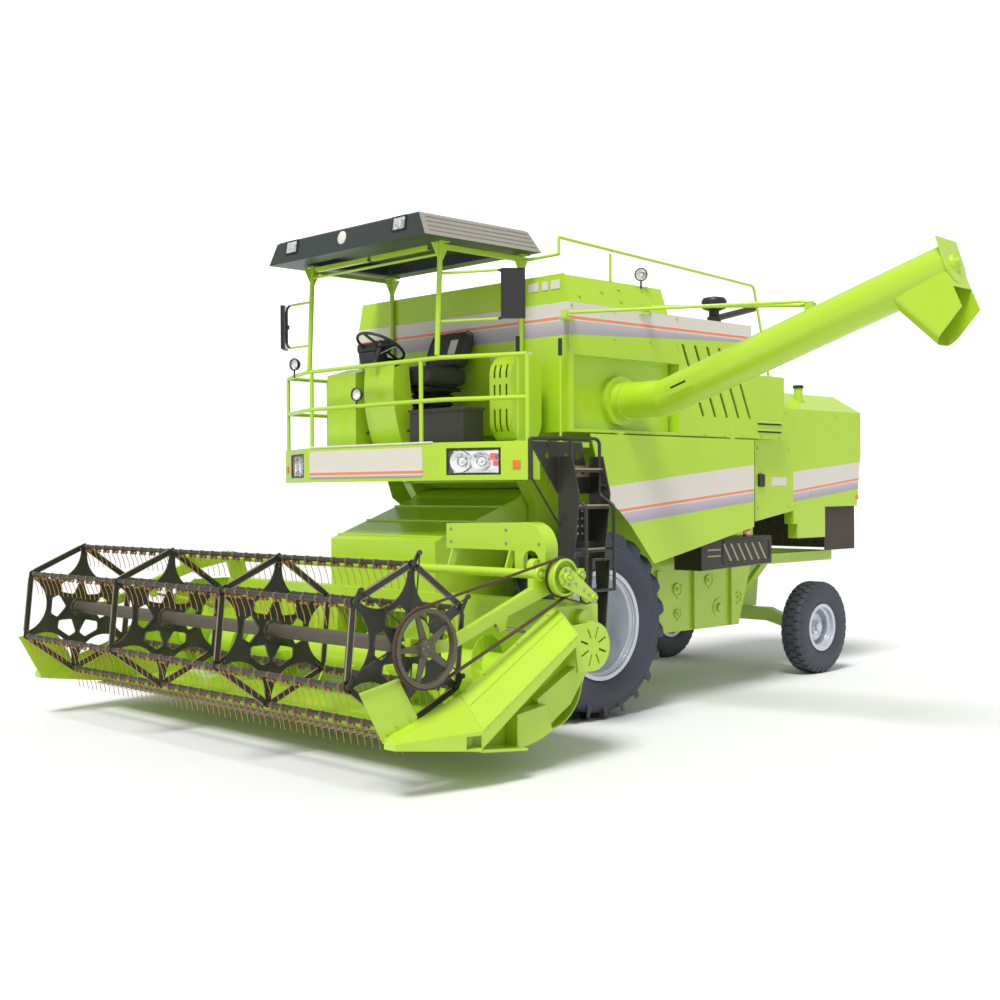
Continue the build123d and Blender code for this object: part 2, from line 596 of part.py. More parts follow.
def side_boxes():
    """Battery and tool boxes below the doors, and the tool box on the platform."""
    boxes = []
    for side in (1, -1):
        y = sorted((side * 950, side * 1250))
        case = slab_xz([(-1290, 1400), (-2340, 1400), (-2340, 1150), (-1290, 1120)], *y)
        hanger = block((-2000, -1600), sorted((side * (BODY_HALF + FIT), side * 950)), (1240, 1330))
        boxes.append(case + hanger)
    lid = slab_xz([(920, 2446), (925, 2466), (1158, 2466), (1164, 2446)], 236, 874)
    boxes.append(block((935, 1150), (247, 863), (DECK_Z + FIT, 2446)) + lid)
    keep("side_boxes", *boxes)


# ================================================================ operator's platform
def platform():
    front = [(WING_X, -WING_HALF), (BEAM_X, -BEAM_HALF), (BEAM_X, BEAM_HALF), (WING_X, WING_HALF)]
    back = [(x - BEAM_DEPTH, y) for x, y in reversed(front)]
    beam = slab_xy(front + back, BEAM_LOW_Z, DECK_Z)
    corners = beam.edges().filter_by(Axis.Z).filter_by_position(Axis.X, BEAM_X - 1, BEAM_X + 1)
    beam = fillet(corners, BEAM_DEPTH * 0.9)
    for side in (1, -1):
        beam -= slab_xy(lamp_recess(side), LAMP_Z - LAMP_H / 2, LAMP_Z + LAMP_H / 2)
    floor = slab_xy([(TANK_FRONT_X + FIT, -WING_HALF)] + [(x - BEAM_DEPTH, y) for x, y in front]
                    + [(TANK_FRONT_X + FIT, WING_HALF)], DECK_Z - 40, DECK_Z)
    body = beam + floor
    for side in (1, -1):
        body += slab_xz([(TANK_FRONT_X - 60 + FIT, 1900), (TANK_FRONT_X - 60 + FIT, DECK_Z - 40),
                         (1240, DECK_Z - 40), (1240, 2090)], *sorted((side * 640, side * 720)))
    keep("platform", body)


def lamp_recess(side):
    """Outline from above of the pocket for one head lamp in the angled wing of the beam."""
    depth = 45.0
    ends = []
    for share in LAMP_SPAN:
        x = BEAM_X + share * (WING_X - BEAM_X)
        y = BEAM_HALF + share * (WING_HALF - BEAM_HALF)
        ends.append((x, y))
    (x0, y0), (x1, y1) = ends
    length = math.dist(ends[0], ends[1])
    nx, ny = (y1 - y0) / length, (x0 - x1) / length
    face = [(x0 + 40 * nx, y0 + 40 * ny), (x1 + 40 * nx, y1 + 40 * ny), (x1 - depth * nx, y1 - depth * ny),
            (x0 - depth * nx, y0 - depth * ny)]
    return [(x, side * y) for x, y in face]


def guard_rails():
    """Rails round the platform, the canopy's posts, the mirrors' loops and the rail beside the tank's top."""
    front = [(WING_X - 20, -WING_HALF + 20), (BEAM_X - 20, -BEAM_HALF + 6), (BEAM_X - 20, BEAM_HALF - 6),
             (WING_X - 20, WING_HALF - 20)]
    rails = []
    for z in (TOP_RAIL_Z, MID_RAIL_Z):
        points = [(640, -WING_HALF + 20, z)] + [(x, y, z) for x, y in front]
        rails.append(pipe(points, RAIL_R, 60))
    for x, y in ((640, -WING_HALF + 20), front[0], (BEAM_X - 20, -770), (BEAM_X - 20, 615), front[3]):
        rails.append(rod((x, y, DECK_Z + FIT), (x, y, TOP_RAIL_Z), RAIL_R))
    body = rails[0]
    for rail in rails[1:]:
        body += rail
    solids = [body]
    low = CANOPY_LOW_Z
    grown = []
    for side in (1, -1):
        for start, end in (((BEAM_X - 20, side * POST_Y, TOP_RAIL_Z + RAIL_R + FIT), (BEAM_X - 60, side * POST_Y, low - 9.3)),
                           ((450, side * POST_Y, DECK_Z + FIT), (450, side * POST_Y, low - 9.3))):
            solids.append(rod(start, end, POST_R))
            grown.append(rod(start, end, POST_R + FIT))
    solids.append(rod((BEAM_X - 56, -POST_Y + POST_R + FIT, low - 90), (BEAM_X - 56, POST_Y - POST_R - FIT, low - 90), 11))
    for x in (BEAM_X - 60, 450):
        for side in (1, -1):
            solids.append(block((x - 45, x + 45), sorted((side * (POST_Y - 60), side * (POST_Y + 60))), (low - 8, low - FIT)))
    y = UPPER_HALF - 66
    tank_rail = pipe([(460, y, 3780), (-1500, y, 3690), (-2100, y, 3660), (-2330, y, STEP_TOP_Z + 4)], 12, 60)
    tank_rail += Pos(-2330, y, STEP_TOP_Z + FIT + 4) * Cylinder(30, 8)
    tank_rail += rod((472, y, 3786), (472, y, 3650), 12) + rod((472, y, 3650), (450, POST_Y, 3650), 12)
    for x, foot in ((-130, TANK_TOP_Z + EXTENSION_H), (-1500, TANK_TOP_Z)):
        tank_rail += rod((x, y, 3720), (x, y, foot + FIT), 12)
    for piece in [tank_rail, *mirror_loops()]:
        for post in grown:
            piece -= post
        solids.append(piece)
    keep("guard_rails", *solids)


def mirror_loops():
    """Bent tube off each front post with a mirror housing clamped to it."""
    pieces = []
    for side, low, out in ((1, 3100, (1090, 1270)), (-1, 3050, (1335, -1140))):
        start = (BEAM_X - 45, side * POST_Y)
        loop = pipe([(*start, low + 360), (*out, low + 360), (*out, low), (*start, low)], 10, 60)
        turn = Rot(0, 0, side * 45)
        case = Pos(out[0] - 20, out[1] + side * 60, low + 180) * turn * Box(30, 176, 370)
        clamp = Pos(out[0] - 3, out[1] + side * 8, low + 180) * turn * Box(50, 24, 36)
        pieces.append(loop + case + clamp)
    return pieces


def canopy():
    rear_x, front_x = CANOPY_REAR_X, CANOPY_FRONT_X
    half, low, high = CANOPY_HALF, CANOPY_LOW_Z, CANOPY_TOP_Z
    middle = (rear_x + front_x) / 2
    lower = Plane.XY.offset(low) * (Pos(middle, 0) * Rectangle(front_x - rear_x, 2 * half))
    upper = Plane.XY.offset(high) * (Pos(middle + 22, 0) * Rectangle(front_x - rear_x - 90, 2 * half - 190))
    roof = loft([lower.face(), upper.face()], ruled=True)
    roof = chamfer(roof.edges().group_by(Axis.Z)[-1], 14)
    pocket = Plane.XY.offset(low) * (Pos(middle - 20, 0) * RectangleRounded(front_x - rear_x - 330, 2 * POST_Y - 200, 40))
    roof -= extrude(pocket.face(), amount=70)
    keep("canopy", roof)


def controls():
    console = slab_xz([(800, DECK_Z + FIT), (800, 2860), (960, 2860), (1180, 2800), (1180, DECK_Z + FIT)], -780, -400)
    fairing = outline(ThreePointArc((1120, DECK_Z + FIT), (1205, 2480), (1200, 2850)),
                      Line((1200, 2850), (1060, 2870)), Line((1060, 2870), (990, DECK_Z + FIT)),
                      Line((990, DECK_Z + FIT), (1120, DECK_Z + FIT)))
    fairing = along_y(fairing, -240, 130)
    head = slab_xz([(1070, 2860), (1200, 2840), (1225, 2950), (1120, 2985)], -300, -90)
    x, y, z = STEERING_WHEEL
    tilt = Pos(x, y, z) * Rot(0, -28, 0)
    section = [(200 + 12 * math.cos(a), 12 * math.sin(a)) for a in (math.radians(22.5 + 45 * k) for k in range(8))]
    wheel = tilt * (Rot(90, 0, 0) * turned(section) + Box(390, 30, 10) + Box(30, 390, 10) + Cylinder(42, 26))
    column = rod((x + 60, y, z - 150), (x, y, z), 26)
    levers = []
    for lever_x, lever_y, top in LEVERS:
        levers.append(rod((lever_x, lever_y, DECK_Z + FIT), (lever_x, lever_y, top), 10)
                      + Pos(lever_x, lever_y, DECK_Z + FIT + 6) * Cylinder(30, 12)
                      + Pos(lever_x, lever_y, top - 65) * Cylinder(16, 130))
    keep("controls", console, fairing + head + column + wheel, belt_guard(), *levers)


def belt_guard():
    """Hollow slotted cover over an upright belt, rounded at its top and foot."""
    x, low_z, high_z, radius = 700.0, 2360.0, 2715.0, 165.0
    shapes = []
    for shrink in (0.0, 8.0):
        hull = make_hull((Pos(x, low_z) * Circle(radius - shrink)).edges()
                         + (Pos(x, high_z) * Circle(radius - shrink)).edges())
        shapes.append(along_y(hull, 860 + shrink, 1100 - shrink))
    cover = shapes[0] - shapes[1] + block((x - 60, x + 60), (900, 1060), (DECK_Z + FIT, low_z - radius + 6))
    for y in (905, 965, 1035):
        for low, high in ((2280, 2450), (2520, 2640), (2690, 2790)):
            cover -= block((x + 100, x + radius + 5), (y, y + 20), (low, high))
    return cover


def seat():
    base = block((600, 880), (-70, 170), (DECK_Z + FIT, 2645))
    base += slab_xz([(540, 2640), (540, 2660), (960, 2660), (960, 2640), (880, 2580), (600, 2580)], -120, 230)
    pan = fillet(block((560, 1000), (-190, 290), (2660 + FIT, 2840)).edges().filter_by(Axis.Z), 60)
    back = slab_xz([(565, 2840 + FIT), (455, 3110), (520, 3128), (650, 2840 + FIT)], -170, 270)
    keep("seat", base, pan, back)


def ladder():
    """Steps below the platform's left end between flanged plates, with a handrail down each side."""
    y_in = WING_HALF + FIT
    front, rear = LADDER_FRONT_X, LADDER_REAR_X
    skirt = slab_xz([(WING_X - 10, 2188), (WING_X - 40, 2150), (front + 10, 1800), (rear - 60, 1800), (rear - 60, 1925),
                     (rear + 30, 1925), (rear + 90, 2188)], y_in, y_in + 6)
    for x in (front + 257, front + 119, front - 87, front - 213):
        skirt -= disc_y(x, 2085, 24, y_in - 1, y_in + 7)
    body = skirt + block((WING_X - 34, WING_X - 4), (y_in, y_in + 20), (BEAM_LOW_Z, 2206))
    body += block((front + 90, front + 110), (y_in, y_in + 22), (2150, 2206))
    for x in (rear, front - 8):
        body += slab_yz([(y_in, 2080), (y_in, 1290), (1655, 1290), (1712, 1800), (1640, 2080)], x, x + 8)
    for z in STEP_LEVELS:
        reach = 1655 + (z - 1290) * 0.11 if z < 1900 else 1640
        body += block((rear + 4, front - 4), (y_in, reach), (z - 4, z + 4))
        body += block((rear + 4, front - 4), (reach - 6, reach), (z - 26, z + 4))
    low_x = (rear - 60, rear + 132)
    for x in low_x:
        body += slab_yz([(y_in, 1320), (1650, 1320), (1650, 1290), (1600, 745), (y_in + 30, 745)], x - 4, x + 4)
    for z, reach in ((1305, 1650), (1070, 1628), (770, 1602)):
        body += block(low_x, (y_in + 20, reach), (z - 8, z + 8))
    body += rod((WING_X - 20, y_in + 12, 1930), (front - 4, y_in + 12, 1560), 8)
    for x, far_x, far_y in ((front - 20, WING_X - 20, y_in + 10), (rear + 20, front + 100, y_in + 12)):
        body += pipe([(far_x, far_y, 2206), (x, 1620, 2214), (x, 1620, 1790), (x, 1760, 1710), (x, 1760, 1080)], 13, 50)
        body += rod((x, 1625, 1860), (x, 1680, 1860), 8)
    body += rod((rear + 20, 1760, 1085), (front - 20, 1760, 1085), 11)
    for x in (rear + 4, front - 4):
        body += rod((x, 1640, 1390), (x, 1760, 1390), 10)
    keep("ladder", body)


# ================================================================ header
def trough_outline(depth):
    """Outline of the trough sheet: cutter bar, floor, curve round the auger, back wall."""
    start = 2440.0
    bend = FEED_Z - FLOOR_Z
    inner = bend - depth
    low = [(start, FLOOR_Z), (FEED_X, FLOOR_Z)]
    steps = 8
    curve = []
    for index in range(steps + 1):
        angle = math.radians(270.0 - 80.0 * index / steps)
        curve.append((FEED_X + bend * math.cos(angle), FEED_Z + bend * math.sin(angle)))
    back = [(TROUGH_X, FEED_Z + 60), (TROUGH_X, TROUGH_TOP_Z), (TROUGH_X + depth, TROUGH_TOP_Z),
            (TROUGH_X + depth, FEED_Z + 60)]
    lined = []
    for index in range(steps + 1):
        angle = math.radians(190.0 + 80.0 * index / steps)
        lined.append((FEED_X + inner * math.cos(angle), FEED_Z + inner * math.sin(angle)))
    return [low[0]] + curve + back + lined + [(start, FLOOR_Z + depth)]


def header_frame():
    trough = slab_xz(trough_outline(SHEET), -HEADER_HALF, HEADER_HALF)
    trough -= block((TROUGH_X - 5, TROUGH_X + SHEET + 90), (-FEEDER_HALF + 90, FEEDER_HALF - 90), (300, 880))
    body = trough + block((TROUGH_X - 100, TROUGH_X), (-HEADER_HALF, HEADER_HALF), (TROUGH_TOP_Z - 110, TROUGH_TOP_Z))
    body += block((2420, 2480), (-HEADER_HALF, HEADER_HALF), (FLOOR_Z - 12, FLOOR_Z + 20))
    wall = [(TROUGH_X - 100, TROUGH_TOP_Z), (1600, TROUGH_TOP_Z), (2500, 520), (2560, 260), (2450, 222), (2050, 195),
            (1730, 225), (1430, 390), (1290, 560), (TROUGH_X - 100, 700)]
    for side in (1, -1):
        body += slab_xz(wall, *sorted((side * HEADER_HALF, side * (HEADER_HALF + SHEET))))
    body -= disc_y(FEED_X, FEED_Z, FEED_SHAFT_R + 0.05, -HEADER_HALF - 20, HEADER_HALF + 20)
    body += feeder_house()
    for side in (1, -1):
        for offset in (-12 - FIT - 12, 12 + FIT):
            y = side * LIFT_Y + offset
            body += slab_xz([(940, 500), (1090, 460), (LIFT_EYE[0] + 26, LIFT_EYE[1] - 26),
                             (LIFT_EYE[0] - 26, LIFT_EYE[1] - 26)], y, y + 12)
        body += disc_y(*LIFT_EYE, RAM_PIN_R, side * LIFT_Y - 24, side * LIFT_Y + 24)
        body += disc_y(*REEL_FOOT, RAM_PIN_R, *sorted((side * (ARM_Y - 16), side * (HEADER_HALF + 1))))
        foot = slab_xz([(1180, TROUGH_TOP_Z), (1220, ARM_PIVOT[1] + 20), (1340, ARM_PIVOT[1] + 50), (1400, ARM_PIVOT[1]),
                        (1330, TROUGH_TOP_Z)], *sorted((side * (ARM_Y - 175), side * (ARM_Y - 135))))
        foot -= disc_y(ARM_PIVOT[0], ARM_PIVOT[1], ARM_SHAFT_R + 1, *sorted((side * (ARM_Y - 185), side * (ARM_Y - 125))))
        body += foot
    keep("header_frame", body)


def feeder_house():
    """Box between the header and the threshing body, swung on a shaft through the body's cheeks."""
    px, pz = FEEDER_PIVOT
    side = [(px, pz + FEEDER_END_R), (TROUGH_X, 1440), (TROUGH_X, 360), (950, 470), (px, pz - FEEDER_END_R)]
    house = slab_xz(side, -FEEDER_HALF, FEEDER_HALF) + disc_y(px, pz, FEEDER_END_R, -FEEDER_HALF, FEEDER_HALF)
    house += disc_y(px, pz, TRUNNION_R, -BODY_HALF - 20, BODY_HALF + 20)
    return house - slab_xz([(1260, 300), (1260, 880), (900, 1060), (900, 640)], -FEEDER_HALF + 90, FEEDER_HALF - 90)


def cover_section(x, rise):
    """Folded sheet of an end cover at one station, as a closed outline in Y and Z."""
    t = SHEET
    y0 = HEADER_HALF + SHEET
    outer = [(y0, rise[0]), (y0 + 90, rise[1]), (y0 + 210, rise[2]), (y0 + 210, rise[3])]
    inner = [(y0 + 210 - t, rise[3]), (y0 + 210 - t, rise[2] - t / 2), (y0 + 90 - t / 2, rise[1] - t),
             (y0, rise[0] - 1.3 * t)]
    return Plane.YZ.offset(x) * make_face(Polyline(*(outer + inner), close=True))


def header_ends():
    y0 = HEADER_HALF + SHEET
    cover = loft([cover_section(1580, (1055, 1000, 885, 820)), cover_section(2450, (560, 500, 365, 255))], ruled=True)
    butt = [(y0, 225), (y0, 560), (y0 + 90, 500), (y0 + 210, 365), (y0 + 210, 240)]
    tip = [(y0, 310), (y0, 372), (y0 + 66, 370), (y0 + 100, 350), (y0 + 100, 310)]
    nose = loft([Plane.YZ.offset(2450) * make_face(Polyline(*butt, close=True)),
                 Plane.YZ.offset(3050) * make_face(Polyline(*tip, close=True))], ruled=True)
    nose -= block((2440, 2560), (y0 + 120, y0 + 211), (262, 340))
    divider = slab_xz([(2800, 440), (2790, 470), (2940, 716), (3235, 660), (3060, 345), (2990, 306)], y0 - 2, y0 + 4)
    divider += slab_xz([(2934, 706), (2940, 716), (3235, 660), (3230, 650)], y0 - 2, y0 + 18)
    rear_skid = [Line((1450, 650), (1470, 545)), ThreePointArc((1470, 545), (1570, 385), (1726, 275)),
                 Line((1726, 275), (1815, 470)), Line((1815, 470), (1450, 650))]
    front_skid = [Line((1780, 440), (1722, 264)), ThreePointArc((1722, 264), (1880, 210), (2047, 190)),
                  Line((2047, 190), (2047, 404)), Line((2047, 404), (1780, 440))]
    end = cover + nose + divider + along_y(outline(*rear_skid), y0, y0 + 60) + along_y(outline(*front_skid), y0, y0 + 110)
    end += slab_xz([(2047, 190), (2047, 206), (2440, 250), (2460, 232)], y0, y0 + 205)
    pieces = both_sides(end)
    guard_y = (y0 + 120, y0 + 136)
    guard = disc_y(1345, 780, 165, *guard_y) + slab_xz([(1345, 945), (1545, 935), (1500, 620), (1345, 615)], *guard_y)
    for index in range(8):
        px, pz = polar(95, 45 * index + 20)
        slot = Rot(0, -(45 * index + 20), 0) * Box(78, 40, 13)
        guard -= Pos(1345 + px, y0 + 128, 780 + pz) * slot
    guard += block((1320, 1370), (y0, y0 + 121), (930, 950)) + disc_y(1330, 960, 62, y0, y0 + 50)
    keep("header_ends", *pieces, guard)


def flight(inner, outer, thick, pitch, length, steps):
    """Screw flight up Z in flat facets, so many steps to a turn."""
    count = round(steps * length / pitch)
    rings = []
    for index in range(count + 1):
        z = length * index / count
        (ix, iy), (ox, oy) = polar(inner, 360 * z / pitch), polar(outer, 360 * z / pitch)
        rings.append([(ix, iy, z), (ox, oy, z), (ox, oy, z + thick), (ix, iy, z + thick)])
    faces = [make_face(Polyline(*ring, close=True)) for ring in (rings[0], rings[-1])]
    for ring, after in zip(rings, rings[1:]):
        for k in range(4):
            a, b, c, d = ring[k], ring[(k + 1) % 4], after[(k + 1) % 4], after[k]
            faces += [make_face(Polyline(a, b, c, close=True)), make_face(Polyline(a, c, d, close=True))]
    return Solid(Shell([face.face() for face in faces]))


def feed_auger():
    """Cross auger: a left and a right flight that carry the crop to the fingers in the middle."""
    body = disc_y(FEED_X, FEED_Z, FEED_TUBE_R, -HEADER_HALF + RUNNING, HEADER_HALF - RUNNING)
    body += disc_y(FEED_X, FEED_Z, FEED_SHAFT_R, -HEADER_HALF - SHEET, HEADER_HALF + SHEET)
    screw = flight(FEED_TUBE_R - 10, FLIGHT_R, FLIGHT_T, FLIGHT_PITCH, HEADER_HALF - FEEDER_HALF - 90, 16)
    for piece in both_sides(Pos(FEED_X, FEEDER_HALF, FEED_Z) * Rot(-90, 0, 0) * screw):
        body += piece
    for index in range(FINGERS):
        y = (index - (FINGERS - 1) / 2) * 2 * (FEEDER_HALF - 60) / FINGERS
        dx, dz = polar(1, 100 * index)
        body += rod((FEED_X + 140 * dx, y, FEED_Z + 140 * dz), (FEED_X + FLIGHT_R * dx, y, FEED_Z + FLIGHT_R * dz), 8)
    keep("feed_auger", body)


# ================================================================ reel
def reel_arms():
    """Two arms joined by a cross tube, with the reel's drive, its shield and the spider's carrier."""
    x, z = ARM_PIVOT
    tube_x, tube_z = ARM_TUBE
    body = disc_y(tube_x, tube_z, ARM_TUBE_R, -ARM_Y - ARM_W / 2, ARM_Y + ARM_W / 2)
    for side in (1, -1):
        y = sorted((side * (ARM_Y - ARM_W / 2), side * (ARM_Y + ARM_W / 2)))
        arm = slab_xz([(x - 40, z + 45), (1580, z + 5), (2500, 905), (REEL[0] + 50, REEL[1] + 55),
                       (REEL[0] + 50, REEL[1] - 55), (2500, 835), (2016, 1010), (1580, z - 105), (x - 40, z - 45)], *y)
        arm -= disc_y(REEL[0], REEL[1], REEL_SHAFT_R + 1, y[0] - 5, y[1] + 5)
        arm += disc_y(x, z, ARM_SHAFT_R, *sorted((side * (ARM_Y - 185), side * ARM_Y)))
        arm += block((tube_x - 60, tube_x + 60), y, (tube_z - 110, tube_z - ARM_TUBE_R + 6))
        for low in (-ARM_W / 2, ARM_W / 2 - 12):
            y = side * ARM_Y + low
            arm += slab_xz([(1980, 1050), (2110, 1000), (REEL_EYE[0] + 22, REEL_EYE[1] - 20),
                            (REEL_EYE[0] - 22, REEL_EYE[1] - 20)], y, y + 12)
        arm += disc_y(*REEL_EYE, 8, side * ARM_Y - ARM_W / 2, side * ARM_Y + ARM_W / 2)
        body += arm
    body += disc_y(tube_x - 76, tube_z + 42, 56, ARM_Y - 115, ARM_Y - 55) + drive_shield() + drive_head()
    body += block((tube_x - 90, tube_x), (ARM_Y - 105, ARM_Y - 65), (tube_z, tube_z + 30))
    cx, cz = REEL[0] + SPIDER_SHIFT[0], REEL[1] + SPIDER_SHIFT[1]
    inner_y = ARM_Y - ARM_W / 2
    carrier = disc_y(cx, cz, 100, inner_y, inner_y + 8) - disc_y(*REEL, REEL_SHAFT_R + 1, inner_y - 1, inner_y + 9)
    for angle in (90, 210, 330):
        dx, dz = polar(SPIDER_INNER_R - 14 - FIT, angle)
        carrier += disc_y(cx + dx, cz + dz, 14, SPIDER_Y - 6, inner_y + 1)
    keep("reel_arms", body + carrier)


def shield_outline(inset):
    """Outline of the drive shield in Y and Z; the inset one is open below."""
    right, low = ARM_Y + 5 - inset, -inset * 2
    left = right - 980 + 2 * inset
    top = SHIELD_LOW_Z + 176 - inset
    return outline(Line((left, SHIELD_LOW_Z + low), (left, top)), Line((left, top), (right - 210, top + 16)),
                   ThreePointArc((right - 210, top + 16), (right - 50, top - 36), (right, top - 196)),
                   Line((right, top - 196), (right, SHIELD_LOW_Z - 120 + low)),
                   Line((right, SHIELD_LOW_Z - 120 + low), (right - 290 + 2 * inset, SHIELD_LOW_Z - 120 + low)),
                   Line((right - 290 + 2 * inset, SHIELD_LOW_Z - 120 + low), (right - 290 + 2 * inset, SHIELD_LOW_Z + low)),
                   Line((right - 290 + 2 * inset, SHIELD_LOW_Z + low), (left, SHIELD_LOW_Z + low)))


def drive_shield():
    """Cover over the drive, with a half-round gap above its hub, on two brackets from the cross tube."""
    low, high = 1500.0, 1620.0
    cover = extrude(Plane.YZ.offset(low) * shield_outline(0.0), amount=high - low, dir=(1, 0, 0))
    cover -= extrude(Plane.YZ.offset(low - 1) * shield_outline(8.0), amount=high - low - 7, dir=(1, 0, 0))
    gap_y, gap_z = ARM_Y - 130, SHIELD_LOW_Z - 68
    cover -= disc_x(gap_y, gap_z, 72, high - 20, high + 1)
    cover -= block((high - 20, high + 1), (gap_y - 72, gap_y + 72), (SHIELD_LOW_Z - 140, gap_z))
    for y in (ARM_Y - 920, ARM_Y - 340):
        cover += slab_xz([(ARM_TUBE[0] - 26, ARM_TUBE[1]), (high - 4, SHIELD_LOW_Z + 10), (high - 4, SHIELD_LOW_Z + 150),
                          (high - 60, SHIELD_LOW_Z + 150), (high - 60, SHIELD_LOW_Z - 20), (ARM_TUBE[0] - 80, ARM_TUBE[1] - 10)],
                         y, y + 14)
    return cover


def drive_head():
    """Pulleys of the reel drive on the left arm, tied by a teardrop plate."""
    face = ARM_Y + ARM_W / 2
    body = disc_y(*DRIVE_PULLEY, 22, face - 1, PULLEY_Y + 40) + disc_y(*INPUT_PULLEY, 16, PULLEY_Y - 40, PULLEY_Y + 40)
    wheel = turned([(20, -36), (DRIVE_PULLEY_R, -36), (DRIVE_PULLEY_R, 24), (DRIVE_PULLEY_R - 18, 24),
                    (DRIVE_PULLEY_R - 18, -4), (56, -4), (56, 30), (20, 30)])
    body += Pos(DRIVE_PULLEY[0], PULLEY_Y, DRIVE_PULLEY[1]) * wheel
    body += disc_y(*INPUT_PULLEY, INPUT_PULLEY_R, PULLEY_Y - 36, PULLEY_Y - 16)
    plate = make_hull((Pos(*DRIVE_PULLEY) * Circle(70)).edges() + (Pos(*INPUT_PULLEY) * Circle(34)).edges())
    return body + along_y(plate, PULLEY_Y + 30, PULLEY_Y + 42)


def belt_loop(big, big_r, small, small_r, thick):
    """Flat belt round two pulleys, as the difference of two hulls in X and Z."""
    shapes = []
    for grow in (thick, 0.0):
        shape = make_hull((Pos(big[0], big[1]) * Circle(big_r + grow)).edges()
                          + (Pos(small[0], small[1]) * Circle(small_r + grow)).edges())
        shapes.append(shape)
    return shapes[0] - shapes[1]


def reel_drive_belt():
    reel_belt = belt_loop(REEL, REEL_PULLEY_R + 1, DRIVE_PULLEY, DRIVE_PULLEY_R + FIT, 12)
    input_belt = belt_loop(DRIVE_PULLEY, DRIVE_PULLEY_R + FIT, INPUT_PULLEY, INPUT_PULLEY_R + FIT, 9)
    keep("reel_drive_belt", along_y(reel_belt, PULLEY_Y - 11, PULLEY_Y + 14), along_y(input_belt, PULLEY_Y - 34, PULLEY_Y - 18))


def bay_window(grow):
    """Flared window of one bay of the star plate, along the bay's middle line."""
    points = [(118 - grow, 0), (188 - grow, -92 - grow), (246 + grow, -62 - grow), (246 + grow, 62 + grow),
              (188 - grow, 92 + grow)]
    window = make_face(Polyline(*points, close=True))
    return fillet(window.vertices(), 20)


def bat_centres():
    """Pivot of each bat on the reel circle."""
    found = []
    for index in range(BATS):
        angle = math.radians(BAT_FIRST - 60.0 * index)
        found.append((REEL[0] + REEL_R * math.cos(angle), REEL[1] + REEL_R * math.sin(angle)))
    return found


def star_plate():
    """Hexagon of flat bars round six tapered arms, with a window in each bay, in X and Z."""
    corners = [polar(REEL_R + STAR_EDGE, BAT_FIRST - 60 * index) for index in range(BATS)]
    plate = make_face(Polyline(*corners, close=True))
    flat = (REEL_R + STAR_EDGE) * math.cos(math.radians(30))
    inner = flat - STAR_BAR
    half = inner * math.tan(math.radians(30)) - STAR_TIP
    gap = outline(Line((inner, -half), (inner, half)), ThreePointArc((inner, half), (STAR_WAIST, 0), (inner, -half)))
    for index in range(BATS):
        turn = Rot(0, 0, BAT_FIRST - 30 - 60 * index)
        plate -= turn * gap
        plate -= turn * bay_window(0)
        plate -= Pos(*polar(REEL_R, BAT_FIRST - 60 * index)) * Circle(BAT_R + 0.5)
    return plate


def reel():
    """Centre tube with star plates, shaft and belt wheel; the bats turn in the plates' tips."""
    body = disc_y(REEL[0], REEL[1], REEL_TUBE_R, -REEL_HALF - 10, REEL_HALF + 10)
    plate = star_plate()
    lips = [Rot(0, 0, BAT_FIRST - 30 - 60 * index) * (bay_window(5) - bay_window(0)) for index in range(BATS)]
    for index in range(STARS):
        y = -REEL_HALF + index * 2 * REEL_HALF / (STARS - 1)
        y += STAR_T / 2 if index < STARS / 2 else -STAR_T / 2
        plane = Plane((REEL[0], y + STAR_T / 2, REEL[1]), x_dir=(1, 0, 0), z_dir=(0, -1, 0))
        body += extrude(plane * plate, amount=STAR_T)
        for lip in lips:
            body += extrude(plane * lip, amount=-STAR_LIP, dir=(0, -1, 0))
        body += disc_y(REEL[0], REEL[1], REEL_TUBE_R + 30, y - 12, y + 12)
    body += disc_y(REEL[0], REEL[1], REEL_SHAFT_R, -ARM_Y - ARM_W, PULLEY_Y + 40)
    wheel = turned([(REEL_PULLEY_R - 26, -24), (REEL_PULLEY_R, -24), (REEL_PULLEY_R, 24), (REEL_PULLEY_R - 26, 24)])
    wheel += turned([(REEL_SHAFT_R, -30), (55, -30), (55, 30), (REEL_SHAFT_R, 30)])
    spoke = slab_xy([(45, -26), (REEL_PULLEY_R - 20, -13), (REEL_PULLEY_R - 20, 13), (45, 26)], -8, 8)
    for index in range(5):
        wheel += Rot(0, 72 * index, 0) * (Rot(90, 0, 0) * spoke)
    body += Pos(REEL[0], PULLEY_Y, REEL[1]) * wheel
    keep("reel", body)


def reel_control():
    """Spider that turns about an offset centre and keeps the tines upright."""
    cx, cz = REEL[0] + SPIDER_SHIFT[0], REEL[1] + SPIDER_SHIFT[1]
    mean_r = (SPIDER_INNER_R + SPIDER_OUTER_R) / 2
    body = turned([(SPIDER_INNER_R, -6), (SPIDER_OUTER_R, -6), (SPIDER_OUTER_R, 6), (SPIDER_INNER_R, 6)])
    body = Pos(cx, SPIDER_Y, cz) * body
    for x, z in bat_centres():
        px, pz = x + SPIDER_SHIFT[0], z + SPIDER_SHIFT[1]
        ux, uz = (px - cx) / REEL_R, (pz - cz) / REEL_R
        arm = rod((cx + mean_r * ux, SPIDER_Y, cz + mean_r * uz), (px - 10 * ux, SPIDER_Y, pz - 10 * uz), 5)
        body += arm + disc_y(px, pz, 16, SPIDER_Y - 6, SPIDER_Y + 6)
    for x, z in bat_centres():
        px, pz = x + SPIDER_SHIFT[0], z + SPIDER_SHIFT[1]
        body -= disc_y(px, pz, CRANK_PIN_R + 0.1, SPIDER_Y - 20, SPIDER_Y + 20)
    keep("reel_control", body)


